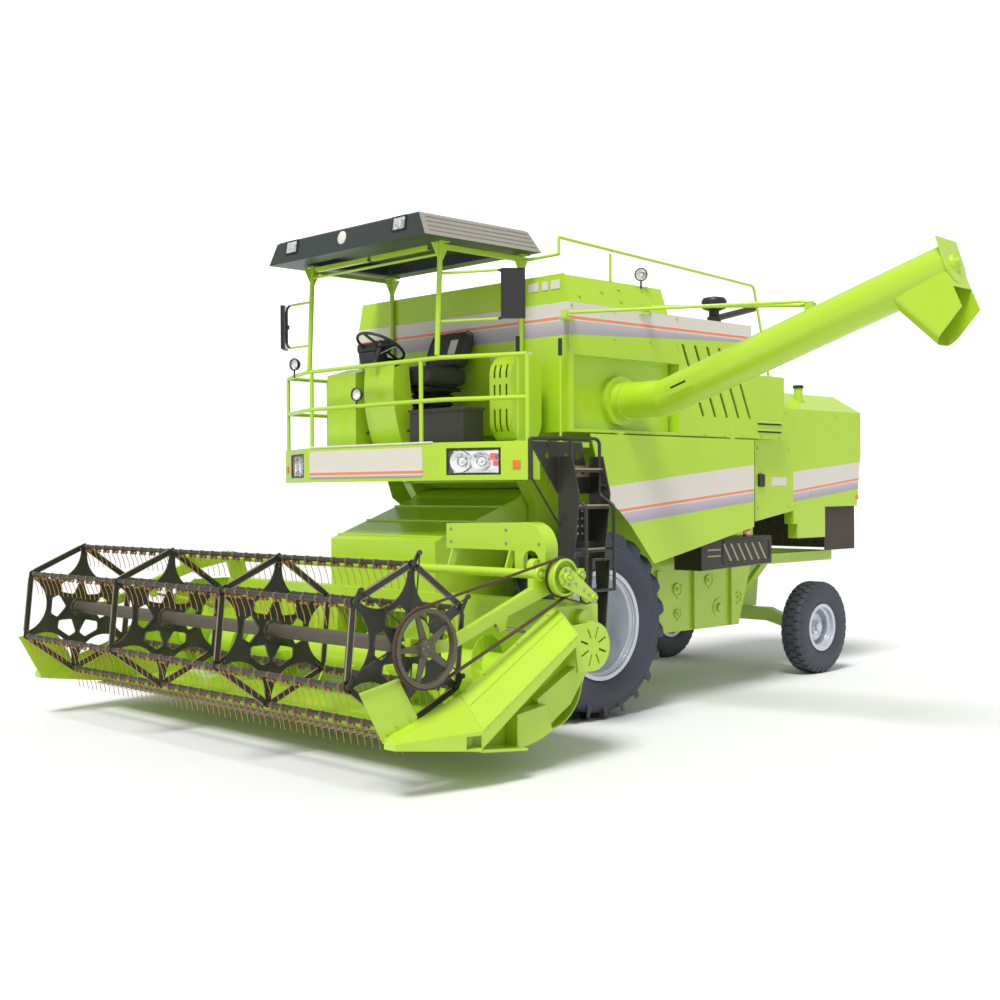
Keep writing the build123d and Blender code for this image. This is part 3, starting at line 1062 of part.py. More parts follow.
def reel_bats():
    """Tine tubes, each with a crank at its left end that the spider holds at one angle."""
    end = SPIDER_Y - 6 - 2
    for index, (x, z) in enumerate(bat_centres()):
        bar = disc_y(x, z, BAT_R, -REEL_HALF - 12, end)
        px, pz = x + SPIDER_SHIFT[0], z + SPIDER_SHIFT[1]
        link = make_hull((Pos(x, z) * Circle(BAT_R - 2)).edges() + (Pos(px, pz) * Circle(14)).edges())
        bar += along_y(link, end - 6, end)
        bar += disc_y(px, pz, CRANK_PIN_R, end - 1, SPIDER_Y + 6)
        keep("reel_bat_%d" % (index + 1), bar)


# ================================================================ unloading auger
def unloading_auger():
    base = RECESS_Y + 30 + FIT
    path = Polyline((AUGER_X, base, AUGER_Z), (AUGER_X, ELBOW_Y, AUGER_Z), AUGER_END)
    start = Plane((AUGER_X, base, AUGER_Z), z_dir=(0, 1, 0))
    outer = sweep(start * Circle(AUGER_R), path=path, transition=Transition.RIGHT)
    inner = sweep(start * Circle(AUGER_R - AUGER_WALL), path=path, transition=Transition.RIGHT)
    ring = turned([(AUGER_R - AUGER_WALL, 0), (FLANGE_R, 0), (FLANGE_R, 30), (AUGER_R - AUGER_WALL, 30)])
    body = outer + spout_box(SPOUT_OUTER, SPOUT_HALF, 88)
    body = body - spout_box(SPOUT_INNER, SPOUT_HALF - 6, 82) - inner
    body += Pos(AUGER_X, base, AUGER_Z) * ring
    collar = turned([(AUGER_R - 2, 0), (AUGER_R + 14, 0), (AUGER_R + 14, 16), (AUGER_R - 2, 16)])
    body += Pos(AUGER_X, base + 95, AUGER_Z) * collar
    tail = Plane(AUGER_END, x_dir=(1, 0, 0), z_dir=path.edges()[1] % 1)
    body += extrude(tail * (Circle(AUGER_R + 9) + Pos(0, -AUGER_R * 0.6) * Rectangle(2 * AUGER_R + 10, AUGER_R * 1.2)), amount=9)
    body += extrude(tail * Circle(46), amount=34)
    clamp_x, clamp_z = clamp_point()
    plate_z = stay_level() - FIT
    lug = block((SWING[0] - 24, AUGER_X - 100), (base, SWING[1] + 20), (AUGER_Z - 74, AUGER_Z + 74))
    lug -= block((SWING[0] + 40, AUGER_X - 99), (base + 30, SWING[1] + 21), (AUGER_Z - 75, AUGER_Z + 75))
    lug -= disc_y(AUGER_X, AUGER_Z, AUGER_R - 1, RECESS_Y, RECESS_Y + 100)
    lug -= Pos(SWING[0], SWING[1], AUGER_Z) * Cylinder(12.1, 200)
    ear_x, ear_y, ear_z = (clamp_x - 24, clamp_x + 24), (CLAMP_Y - 34, CLAMP_Y + 34), (clamp_z + AUGER_R - 20, plate_z)
    ear = block(ear_x, ear_y, ear_z) - rod((AUGER_X, ELBOW_Y, AUGER_Z), AUGER_END, AUGER_R + FIT)
    stay = rod((SWING[0] + 20, SWING[1] + 60, STAY_TOP_Z), (clamp_x, CLAMP_Y, plate_z - 20), STAY_R)
    stay -= block(ear_x, (ear_y[0] - FIT, ear_y[1]), (ear_z[0], plate_z + 1))
    eye = Pos(SWING[0], SWING[1], STAY_TOP_Z) * (Cylinder(34, 24) - Cylinder(12.1, 40))
    link = block((SWING[0] + 8, SWING[0] + 32), (SWING[1] + 26, SWING[1] + 74), (STAY_TOP_Z - 12, STAY_TOP_Z + 12))
    keep("unloading_auger", body + lug, ear, stay + link + eye)


def spout_box(offsets, half, bend):
    """Chute below the tube's end with a rounded underside, from offsets in Y and Z off the end."""
    points = [(AUGER_END[1] + y, AUGER_END[2] + z) for y, z in offsets]
    box = slab_yz(points, AUGER_END[0] - half, AUGER_END[0] + half)
    (y0, z0), (y1, z1) = points[:2]
    under = box.edges().filter_by(Axis((0, y0, z0), (0, y1 - y0, z1 - z0)))
    return fillet(under, bend)


def stay_place():
    """Frame of the front stay: its foot at the origin, X towards the clamp."""
    end = (clamp_point()[0], CLAMP_Y)
    turn = math.degrees(math.atan2(end[1] - STAY_FOOT[1], end[0] - STAY_FOOT[0]))
    return Pos(STAY_FOOT[0], STAY_FOOT[1], stay_level()) * Rot(0, 0, turn)


def auger_stay():
    """Front stay: a bar hinged in a fork ahead of the tank, its flat eye laid on the clamp."""
    length = math.dist(STAY_FOOT, (clamp_point()[0], CLAMP_Y))
    bar = Pos(length / 2 + 3, 0, STAY_R) * Rot(0, 90, 0) * Cylinder(STAY_R, length - 84)
    foot = Pos(0, 0, STAY_R) * Rot(90, 0, 0) * Cylinder(22, STAY_EYE_T) + Pos(32, 0, STAY_R) * Box(40, STAY_EYE_T, 22)
    foot -= Pos(0, 0, STAY_R) * Rot(90, 0, 0) * Cylinder(STAY_PIN_R + 0.1, 40)
    end = Pos(length, 0, 5) * Cylinder(24, 10) + Pos(length - 40, 0, 5) * Box(60, 30, 10)
    end -= Pos(length, 0, 5) * Cylinder(STAY_PIN_R + 0.1, 40)
    keep("auger_stay", stay_place() * (bar + foot + end))


# ================================================================ rear knuckles and rams
def knuckles():
    high = 56 - FIT
    body = Pos(-WHEELBASE, KINGPIN_Y, REAR_R) * Cylinder(44, 2 * high)
    hub_in = REAR_OUTER_Y - REAR_TYRE_W / 2
    body += disc_y(-WHEELBASE, REAR_R, 34, KINGPIN_Y, hub_in - 52 - FIT)
    body += disc_y(-WHEELBASE, REAR_R, SPINDLE_R, KINGPIN_Y, hub_in + 50 - FIT)
    body += block((-WHEELBASE, -WHEELBASE + 170), (KINGPIN_Y - 2, KINGPIN_Y + 26), (REAR_R + 20, REAR_R + 44))
    body -= Pos(-WHEELBASE, KINGPIN_Y, REAR_R) * Cylinder(KINGPIN_R + 0.05, 400)
    keep("knuckle_left", body)
    keep("knuckle_right", mirror(body, about=Plane.XZ))


def ram(foot, eye, barrel_length, y, barrel_r, rod_r):
    """Plunger ram in a plane across Y: barrel with a foot eye, and rod with a wide end eye."""
    length = math.dist(foot, eye)
    ux, uz = (eye[0] - foot[0]) / length, (eye[1] - foot[1]) / length

    def at(distance):
        return foot[0] + ux * distance, y, foot[1] + uz * distance

    barrel = rod(at(70), at(barrel_length), barrel_r) + rod(at(20), at(80), 11)
    barrel -= rod(at(95), at(barrel_length + 1), rod_r + 1)
    barrel += disc_y(foot[0], foot[1], 30, y - 12, y + 12)
    barrel -= disc_y(foot[0], foot[1], RAM_PIN_R + 0.05, y - 40, y + 40)
    plunger = rod(at(170), at(length - 62), rod_r) + rod(at(length - 70), at(length - RAM_EYE_R - 4), min(rod_r, 11))
    plunger += disc_y(eye[0], eye[1], RAM_EYE_R + 10, y - 12, y + 12)
    plunger -= disc_y(eye[0], eye[1], RAM_EYE_R, y - 40, y + 40)
    return barrel, plunger


def header_lift():
    barrel, plunger = ram(LIFT_FOOT, LIFT_EYE, 560, LIFT_Y, 36, 24)
    keep("header_lift_barrels", *both_sides(barrel))
    keep("header_lift_rods", *both_sides(plunger))


def reel_lift():
    barrel, plunger = ram(REEL_FOOT, REEL_EYE, 380, ARM_Y, 20, 12)
    keep("reel_lift_barrels", *both_sides(barrel))
    keep("reel_lift_rods", *both_sides(plunger))


front_wheels()
rear_wheels()
chassis_frame()
thresher_body()
straw_hood()
grain_tank()
engine_housing()
side_boxes()
side_doors()
platform()
guard_rails()
canopy()
controls()
seat()
ladder()
header_frame()
header_ends()
feed_auger()
reel_arms()
reel_drive_belt()
reel()
reel_control()
reel_bats()
unloading_auger()
auger_stay()
knuckles()
header_lift()
reel_lift()

os.makedirs("parts", exist_ok=True)
for name, solids in parts.items():
    moved = [Pos(-ORIGIN[0], -ORIGIN[1], -ORIGIN[2]) * solid for solid in solids]
    export_step(Compound(children=moved) if len(moved) > 1 else moved[0], "parts/%s.step" % name)
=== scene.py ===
import json
import math

import bmesh
import bpy
import numpy as np
from mathutils import Matrix, Vector

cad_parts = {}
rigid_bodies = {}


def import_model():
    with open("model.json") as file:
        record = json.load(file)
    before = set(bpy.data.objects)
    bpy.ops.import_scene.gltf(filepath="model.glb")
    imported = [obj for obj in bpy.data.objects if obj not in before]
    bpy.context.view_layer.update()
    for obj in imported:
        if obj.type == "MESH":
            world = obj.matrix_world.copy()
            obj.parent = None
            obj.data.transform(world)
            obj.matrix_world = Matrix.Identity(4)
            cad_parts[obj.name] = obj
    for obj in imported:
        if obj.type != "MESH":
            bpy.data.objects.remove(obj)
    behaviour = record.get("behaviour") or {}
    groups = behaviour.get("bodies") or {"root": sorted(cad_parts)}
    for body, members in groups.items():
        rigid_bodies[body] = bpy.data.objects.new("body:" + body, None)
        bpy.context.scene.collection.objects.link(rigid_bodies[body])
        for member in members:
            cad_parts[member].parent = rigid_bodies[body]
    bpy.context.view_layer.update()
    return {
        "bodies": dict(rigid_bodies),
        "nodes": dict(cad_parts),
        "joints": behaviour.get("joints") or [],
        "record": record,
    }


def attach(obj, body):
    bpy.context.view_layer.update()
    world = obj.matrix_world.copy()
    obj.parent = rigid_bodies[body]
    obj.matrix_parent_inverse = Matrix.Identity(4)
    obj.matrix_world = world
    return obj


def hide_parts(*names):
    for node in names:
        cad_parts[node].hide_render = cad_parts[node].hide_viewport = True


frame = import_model()
nodes = frame["nodes"]
print("frame loaded:", len(nodes), "nodes")

# everything below is placed from the middle of the front axle on the ground
axleAt = np.array((0.698, -0.8825, 0.0))

# how the view is framed: eye and heading in metres, tilt and roll in degrees
view = {"eye": (8.816, 7.5075, 1.835), "heading": (-0.699, -0.7152), "tilt": -0.44, "roll": -0.36,
        "lens": 48.73}


def placeCamera():
    # local x is right, y is up and z points back along the line of sight
    ahead = Vector((*view["heading"], 0)).normalized()
    right = Vector((-ahead.y, ahead.x, 0)) * -1
    turn = Matrix((right, Vector((0, 0, 1)), -ahead)).transposed()
    turn = turn @ Matrix.Rotation(math.radians(view["tilt"]), 3, "X")
    turn = turn @ Matrix.Rotation(math.radians(view["roll"]), 3, "Z")
    camera = bpy.data.objects.new("camera", bpy.data.cameras.new("camera"))
    camera.data.lens = view["lens"]
    camera.data.sensor_width = 36
    camera.matrix_world = Matrix.Translation(view["eye"]) @ turn.to_4x4()
    bpy.context.collection.objects.link(camera)
    bpy.context.scene.camera = camera


placeCamera()
print("camera placed")


# a shape is (points, faces): n x 3 places and m x 4 corner numbers, with -1 as the last corner of a triangle

def merged(*shapes):
    # several shapes as one, with the later ones' corners counted on from the earlier
    points, faces, count = [], [], 0
    for shapePoints, shapeFaces in shapes:
        points.append(shapePoints)
        faces.append(np.where(shapeFaces < 0, -1, shapeFaces + count))
        count += len(shapePoints)
    return np.vstack(points), np.vstack(faces)


def repeated(shape, offsets):
    # one copy of the shape at each offset
    points, faces = shape
    offsets = np.asarray(offsets, float)
    copies = points[None] + offsets[:, None]
    steps = (np.arange(len(offsets)) * len(points))[:, None, None]
    return copies.reshape(-1, 3), np.where(faces[None] < 0, -1, faces[None] + steps).reshape(-1, 4)


def turned(shape, axis, degrees, about=(0, 0, 0)):
    # the shape turned round a line through a point
    turn = np.array(Matrix.Rotation(math.radians(degrees), 3, axis))
    about = np.asarray(about, float)
    return (shape[0] - about) @ turn.T + about, shape[1]


def moved(shape, by):
    return shape[0] + np.asarray(by, float), shape[1]


def mirrored(shape):
    # the same shape on the machine's other side, its faces turned round so that they still look outward
    points, faces = shape
    return points * (1, -1, 1), np.where(faces[:, 3:] < 0, faces[:, [2, 1, 0, 3]], faces[:, ::-1])


def bothSides(shape):
    return merged(shape, mirrored(shape))


def onSide(shape, word):
    # a shape made for the left side, put on the side that is asked for
    return shape if word == "left" else mirrored(shape)


def surface(grid, closeRows=False, closeColumns=False, caps=False):
    # quads between the neighbours of a rows x columns grid of points
    # a cap is a fan to the middle of an end row
    rows, columns = grid.shape[:2]
    r = np.arange(rows if closeRows else rows - 1)[:, None]
    c = np.arange(columns if closeColumns else columns - 1)[None, :]
    after, beside = (r + 1) % rows, (c + 1) % columns
    faces = np.stack([r * columns + c, r * columns + beside, after * columns + beside, after * columns + c],
                     -1)
    points, faces = grid.reshape(-1, 3), faces.reshape(-1, 4)
    if caps:
        ring = np.arange(columns)
        for row in (0, rows - 1):
            middle = np.full(columns, len(points))
            points = np.vstack([points, grid[row].mean(0)])
            fan = np.stack([row * columns + ring, row * columns + (ring + 1) % columns, middle,
                            np.full(columns, -1)], 1)
            faces = np.vstack([faces, fan])
    return points, faces


def swept(section, path, up=(0, 0, 1), scale=1.0, caps=True):
    # an outline carried along a path, at right angles to it:
    # place = path + across x outline u + up x outline v
    path, section = np.asarray(path, float), np.asarray(section, float)
    along = np.gradient(path, axis=0)
    along /= np.linalg.norm(along, axis=1)[:, None]
    across = np.cross(along, np.asarray(up, float))
    across /= np.linalg.norm(across, axis=1)[:, None]
    rise = np.cross(across, along)
    scale = np.broadcast_to(np.asarray(scale, float), len(path))[:, None, None]
    grid = path[:, None] + scale * (across[:, None] * section[None, :, :1] + rise[:, None] * section[None, :,
            1:])
    return surface(grid, closeColumns=True, caps=caps)


def ring(radius, sides):
    # points of a regular outline, first one on the u axis
    angle = np.arange(sides) * 2 * np.pi / sides
    return np.stack([radius * np.cos(angle), radius * np.sin(angle)], 1)


def tube(path, radius, sides=8, up=(0, 0, 1)):
    # a round bar along a path; one that stands upright takes x as its up
    span = np.abs(np.asarray(path[-1], float) - path[0])
    if up == (0, 0, 1) and span[2] > 0.95 * np.linalg.norm(span) > 0:
        up = (1, 0, 0)
    return swept(ring(1.0, sides), path, up, np.asarray(radius, float) * np.ones(len(path)))


def lathe(profile, centre=(0, 0, 0), axis="y", sides=32):
    # (radius, distance along the axis) pairs turned once round the axis; a radius of 0 closes an end
    profile = np.asarray(profile, float)
    angle = np.arange(sides) * 2 * np.pi / sides
    radius, along = profile[:, 0][:, None], np.repeat(profile[:, 1][:, None], sides, 1)
    u, v = radius * np.cos(angle), radius * np.sin(angle)
    order = {"x": (along, u, v), "y": (v, along, u), "z": (u, v, along)}[axis]
    return moved(surface(np.stack(order, -1), closeColumns=True), centre)


def roundedBlock(low, high, corner=0.0, axis=2, steps=4):
    # a box whose four edges along one axis are rounded: quarter circles about the four inner corners
    low, high = np.asarray(low, float), np.asarray(high, float)
    one, two = [k for k in range(3) if k != axis]
    if corner:
        angle = np.linspace(0, np.pi / 2, steps + 1)
        arc = np.concatenate([angle + k * np.pi / 2 for k in range(4)])
        sign = np.repeat([(1, 1), (-1, 1), (-1, -1), (1, -1)], steps + 1, 0)
    else:
        arc, sign = np.zeros(4), np.array([(1, 1), (-1, 1), (-1, -1), (1, -1)])
    middle, half = (low + high) / 2, (high - low) / 2
    grid = np.zeros((2, len(arc), 3))
    grid[..., one] = middle[one] + sign[:, 0] * (half[one] - corner) + corner * np.cos(arc)
    grid[..., two] = middle[two] + sign[:, 1] * (half[two] - corner) + corner * np.sin(arc)
    grid[0, :, axis], grid[1, :, axis] = low[axis], high[axis]
    return surface(grid, closeColumns=True, caps=True)


def plate(outline, low, high, axis=1):
    # a flat outline given thickness along one axis
    outline = np.asarray(outline, float)
    one, two = [k for k in range(3) if k != axis]
    grid = np.zeros((2, len(outline), 3))
    grid[..., one], grid[..., two] = outline[:, 0], outline[:, 1]
    grid[0, :, axis], grid[1, :, axis] = low, high
    return surface(grid, closeColumns=True, caps=True)


def bolt(at, axis="y", size=0.011, out=1):
    # six-sided head on a washer, facing along an axis
    head = [(0, 0), (size * 1.5, 0), (size * 1.5, size * 0.25), (size, size * 0.25), (size, size * 0.85),
            (size * 0.7, size), (0, size)]
    return lathe([(r, out * a) for r, a in head], at, axis, 6)


def makePiece(name, shape, paint, body, bevel=0.0, sharp=40, subdivide=0, stands=(), closed=True,
              slotName=None):
    points, faces = shape
    mesh = bpy.data.meshes.new(name)
    corners = (faces >= 0).sum(1)
    mesh.vertices.add(len(points))
    mesh.vertices.foreach_set("co", (points + axleAt).ravel())
    mesh.loops.add(int(corners.sum()))
    mesh.loops.foreach_set("vertex_index", faces[faces >= 0])
    mesh.polygons.add(len(faces))
    mesh.polygons.foreach_set("loop_start", np.cumsum(corners) - corners)
    mesh.update(calc_edges=True)
    mesh.validate()
    work = bmesh.new()
    work.from_mesh(mesh)
    bmesh.ops.remove_doubles(work, verts=work.verts, dist=1e-6)
    if closed:
        bmesh.ops.recalc_face_normals(work, faces=work.faces)
    work.to_mesh(mesh)
    work.free()
    mesh.shade_smooth()
    mesh.set_sharp_from_angle(angle=math.radians(sharp))
    piece = bpy.data.objects.new(name, mesh)
    bpy.context.collection.objects.link(piece)
    mesh.materials.append(paint)
    if bevel:
        edge = piece.modifiers.new("edge", "BEVEL")
        edge.width, edge.segments, edge.limit_method = bevel, 2, "ANGLE"
    if subdivide:
        smooth = piece.modifiers.new("smooth", "SUBSURF")
        smooth.levels = smooth.render_levels = subdivide
    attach(piece, body)
    slotName or slotOf[paint.name]
    if stands:
        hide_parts(*stands)
    return piece


# ways to build materials

def tone(red, green, blue):
    # an 8-bit screen colour as the linear colour that a shader takes
    return tuple((c / 255 / 12.92) if c <= 10 else ((c / 255 + 0.055) / 1.055) ** 2.4
                 for c in (red, green, blue)) + (1,)


def addNode(tree, kind, inputs=None, **settings):
    node = tree.nodes.new("ShaderNode" + kind)
    for key, value in settings.items():
        setattr(node, key, value)
    for key, value in (inputs or {}).items():
        if hasattr(value, "is_linked"):
            tree.links.new(value, node.inputs[key])
        else:
            node.inputs[key].default_value = value
    return node


def maths(tree, operation, first, second=0.0, third=None, clamp=False):
    inputs = {0: first, 1: second}
    if third is not None:
        inputs[2] = third
    return addNode(tree, "Math", inputs, operation=operation, use_clamp=clamp).outputs[0]


def blended(tree, mask, first, second, kind="MIX"):
    return addNode(tree, "Mix", {0: mask, 6: first, 7: second}, data_type="RGBA", blend_type=kind).outputs[2]


def faded(tree, value, start, end):
    # 0 before the start and 1 after the end; the two may be in either order
    return addNode(tree, "MapRange", {0: value, 1: start, 2: end}, interpolation_type="SMOOTHSTEP").outputs[0]


def newGroup(name, inputs, outputs):
    group = bpy.data.node_groups.new(name, "ShaderNodeTree")
    for label, kind, value in inputs:
        socket = group.interface.new_socket(name=label, in_out="INPUT", socket_type="NodeSocket" + kind)
        if value is not None:
            socket.default_value = value
    for label, kind in outputs:
        group.interface.new_socket(name=label, in_out="OUTPUT", socket_type="NodeSocket" + kind)
    return group, group.nodes.new("NodeGroupInput").outputs, group.nodes.new("NodeGroupOutput").inputs


def useGroup(tree, group, inputs):
    node = tree.nodes.new("ShaderNodeGroup")
    node.node_tree = group
    for key, value in inputs.items():
        if hasattr(value, "is_linked"):
            tree.links.new(value, node.inputs[key])
        else:
            node.inputs[key].default_value = value
    return node.outputs


def makeFinishGroup():
    # one coat with soft edges, cloudy tint, fine grain, lighter edges that are partly rubbed wear and partly
    # painted highlight, and dust low down and on flat tops
    group, given, made = newGroup("coatFinish", [("Place", "Vector", None),
                                                 ("Colour", "Color", (0.5, 0.5, 0.5, 1)),
                                                 ("Edge Colour", "Color", (0.6, 0.6, 0.6, 1)),
                                                 ("Edge Width", "Float", 0.006), ("Edge Wear And Highlight", "Float", 0.3),
                                                 ("Cloud", "Float", 0.06), ("Grain Scale", "Float", 160.0),
                                                 ("Grain Height", "Float", 0.0002), ("Dust", "Float", 0.15),
                                                 ("Gloss", "Float", 0.35)],
                                  [("Colour", "Color"), ("Roughness", "Float"), ("Normal", "Vector")])
    tree = group
    soft = addNode(tree, "Bevel", {"Radius": given["Edge Width"]}, samples=4).outputs[0]
    facing = addNode(tree, "NewGeometry").outputs["Normal"]
    agree = addNode(tree, "VectorMath", {0: soft, 1: facing}, operation="DOT_PRODUCT").outputs["Value"]
    rub = addNode(tree, "TexNoise", {"Vector": given["Place"], "Scale": 14.0, "Detail": 5.0,
                                     "Roughness": 0.7}).outputs[0]
    # edges take the lighter Edge Colour in patches: partly rubbed wear, partly painted highlight
    edge = maths(tree, "MULTIPLY", faded(tree, agree, 0.995, 0.86), faded(tree, rub, 0.38, 0.62))
    edge = maths(tree, "MULTIPLY", edge, given["Edge Wear And Highlight"], clamp=True)
    cloud = addNode(tree, "TexNoise", {"Vector": given["Place"], "Scale": 1.7, "Detail": 3.0}).outputs[0]
    lift = maths(tree, "MULTIPLY_ADD", maths(tree, "SUBTRACT", cloud, 0.5), given["Cloud"], 1.0)
    base = addNode(tree, "VectorMath", {0: given["Colour"], "Scale": lift}, operation="SCALE").outputs[0]
    colour = blended(tree, edge, base, given["Edge Colour"])
    height = addNode(tree, "SeparateXYZ", {0: given["Place"]}).outputs[2]
    upward = addNode(tree, "SeparateXYZ", {0: facing}).outputs[2]
    patch = addNode(tree, "TexNoise", {"Vector": given["Place"], "Scale": 5.0, "Detail": 6.0,
                                       "Roughness": 0.65}).outputs[0]
    low = maths(tree, "MULTIPLY", faded(tree, height, 1.3, 0.0), 0.9)
    lies = maths(tree, "ADD", low, maths(tree, "MULTIPLY", faded(tree, upward, 0.6, 1.0), 0.5))
    dust = maths(tree, "MULTIPLY", maths(tree, "MULTIPLY", lies, faded(tree, patch, 0.35, 0.75)),
                 given["Dust"], clamp=True)
    tree.links.new(blended(tree, dust, colour, tone(178, 160, 120)), made["Colour"])
    rough = maths(tree, "MULTIPLY_ADD", dust, 0.5, given["Gloss"])
    rough = maths(tree, "MULTIPLY_ADD", maths(tree, "SUBTRACT", patch, 0.5), 0.12, rough, clamp=True)
    tree.links.new(rough, made["Roughness"])
    grain = addNode(tree, "TexNoise", {"Vector": given["Place"], "Scale": given["Grain Scale"],
                                       "Detail": 2.0}).outputs[0]
    bump = addNode(tree, "Bump", {"Strength": 1.0, "Distance": given["Grain Height"], "Height": grain,
                                  "Normal": soft})
    tree.links.new(bump.outputs[0], made["Normal"])
    return group


def makeBandGroup():
    # a painted band between two sloping lines, with a thin line along it
    # it gives out its colour and where it lies
    group, given, made = newGroup("bandStripe", [
        ("Place", "Vector", None), ("Top", "Float", 1.0), ("Top Slope", "Float", 0.0), ("Foot", "Float", 0.5),
        ("Foot Slope", "Float", 0.0), ("Line", "Float", 0.7), ("Line Slope", "Float", 0.0)],
        [("Colour", "Color"), ("Mask", "Float")])
    tree = group
    x, y, z = addNode(tree, "SeparateXYZ", {0: given["Place"]}).outputs
    top = maths(tree, "MULTIPLY_ADD", x, given["Top Slope"], given["Top"])
    foot = maths(tree, "MULTIPLY_ADD", x, given["Foot Slope"], given["Foot"])
    line = maths(tree, "MULTIPLY_ADD", x, given["Line Slope"], given["Line"])
    inside = maths(tree, "MULTIPLY", maths(tree, "LESS_THAN", z, top), maths(tree, "GREATER_THAN", z, foot))
    share = maths(tree, "DIVIDE", maths(tree, "SUBTRACT", z, foot), maths(tree, "SUBTRACT", line, foot))
    lower = blended(tree, faded(tree, share, 0.0, 1.0), tone(168, 158, 176), tone(196, 188, 190))
    off = maths(tree, "SUBTRACT", z, line)
    above = maths(tree, "GREATER_THAN", off, 0.0)
    colour = blended(tree, above, lower, tone(220, 213, 203))
    away = maths(tree, "ABSOLUTE", off)
    colour = blended(tree, maths(tree, "LESS_THAN", away, 0.021), colour, tone(205, 226, 228))
    colour = blended(tree, maths(tree, "LESS_THAN", away, 0.012), colour, tone(246, 134, 84))
    tree.links.new(colour, made["Colour"])
    tree.links.new(inside, made["Mask"])
    return group


coatFinish = makeFinishGroup()
bandStripe = makeBandGroup()


def coat(name, colour, edge=None, metallic=0.0, clear=0.0, band=None, **finish):
    # a painted or moulded surface from the shared finish; band adds a stripe on the faces it names
    material = bpy.data.materials.new(name)
    material.use_nodes = True
    tree = material.node_tree
    shader = tree.nodes["Principled BSDF"]
    place = addNode(tree, "Mapping", {0: addNode(tree, "TexCoord").outputs["Object"],
                                      1: tuple(-axleAt)}).outputs[0]
    start = colour
    if band:
        stripe = useGroup(tree, bandStripe, {"Place": place, **band["lines"]})
        x, y, z = addNode(tree, "SeparateXYZ", {0: place}).outputs
        out = maths(tree, "GREATER_THAN", maths(tree, "ABSOLUTE", y), band["side"])
        within = maths(tree, "LESS_THAN", maths(tree, "ABSOLUTE", y), band["side"] + 0.012)
        if "front" in band:
            ahead = maths(tree, "GREATER_THAN", x, band["front"])
            out = maths(tree, "MULTIPLY", maths(tree, "MAXIMUM", out, ahead),
                        maths(tree, "LESS_THAN", x, band["front"] + 0.02))
        out = maths(tree, "MULTIPLY", maths(tree, "MULTIPLY", out, within),
                    maths(tree, "GREATER_THAN", x, band["rear"]))
        start = blended(tree, maths(tree, "MULTIPLY", out, stripe["Mask"]), colour, stripe["Colour"])
    made = useGroup(tree, coatFinish, {"Place": place, "Colour": start, "Edge Colour": edge or colour,
                                       **finish})
    tree.links.new(made["Colour"], shader.inputs["Base Color"])
    tree.links.new(made["Roughness"], shader.inputs["Roughness"])
    tree.links.new(made["Normal"], shader.inputs["Normal"])
    shader.inputs["Metallic"].default_value = metallic
    if clear:
        shader.inputs["Coat Weight"].default_value = clear
        shader.inputs["Coat Roughness"].default_value = 0.12
    return material


# the lime's edge colour is a lit green: painted highlight along edges
lime, limeEdgeHighlight = tone(178, 214, 44), tone(224, 244, 140)
enamel = {"clear": 0.5, "Edge Wear And Highlight": 0.5, "Gloss": 0.34}
bands = {"tank": {"side": 1.292, "front": 0.425, "rear": -1.975,
                  "lines": {"Top": 3.2845, "Foot": 3.049, "Foot Slope": -0.0446, "Line": 3.1655,
                            "Line Slope": -0.004}}, "door": {"side": 1.3185, "rear": -3.0,
        "lines": {"Top": 1.8545, "Top Slope": -0.095, "Foot": 1.5335, "Foot Slope": -0.0916, "Line": 1.649,
                  "Line Slope": -0.0853}}, "hood": {"side": 0.794, "rear": -4.645,
                                                    "lines": {"Top": 1.699, "Top Slope": -0.0869,
        "Foot": 1.3437, "Foot Slope": -0.1038, "Line": 1.445, "Line Slope": -0.1038}}, }
green = coat("limeEnamel", lime, limeEdgeHighlight, **enamel)
bandedGreen = {name: coat(name + "Enamel", lime, limeEdgeHighlight, band=band, **enamel)
               for name, band in bands.items()}
black = coat("blackPaint", tone(50, 50, 44), tone(150, 140, 118),
             **{"Edge Wear And Highlight": 0.8, "Gloss": 0.42, "Cloud": 0.3})
bronze = coat("rubbedTube", tone(92, 86, 72), tone(168, 156, 128), metallic=0.3,
              **{"Edge Wear And Highlight": 0.6, "Gloss": 0.45, "Cloud": 0.5})
rubber = coat("tyreRubber", tone(56, 61, 74), tone(92, 98, 112),
              **{"Edge Wear And Highlight": 0.5, "Gloss": 0.55, "Dust": 0.07, "Cloud": 0.25})
silver = coat("silverLacquer", tone(204, 209, 218), tone(246, 248, 252), metallic=0.4, clear=0.3,
              **{"Gloss": 0.3, "Dust": 0.05})
curtainRubber = coat("curtainRubber", tone(70, 62, 56), tone(104, 94, 84),
                     **{"Gloss": 0.7, "Cloud": 0.4, "Dust": 0.4})
vinyl = coat("seatVinyl", tone(60, 60, 58), tone(120, 118, 110),
             **{"Gloss": 0.5, "Grain Scale": 420.0, "Grain Height": 0.0006})
shell = coat("canopyShell", tone(158, 153, 142), tone(196, 192, 182), **{"Gloss": 0.42})
shellBlack = coat("canopyBlack", tone(48, 56, 52), tone(100, 104, 98), **{"Gloss": 0.4})
beltRubber = coat("beltRubber", tone(74, 52, 44), tone(110, 84, 72), **{"Gloss": 0.68})
steel = coat("bareSteel", tone(176, 178, 182), tone(220, 222, 226), metallic=1.0, **{"Gloss": 0.32})
cast = coat("castIron", tone(70, 74, 78), tone(110, 112, 116), **{"Gloss": 0.6})
plastic = coat("blackPlastic", tone(40, 40, 40), tone(84, 84, 82), **{"Gloss": 0.45, "Grain Scale": 300.0})

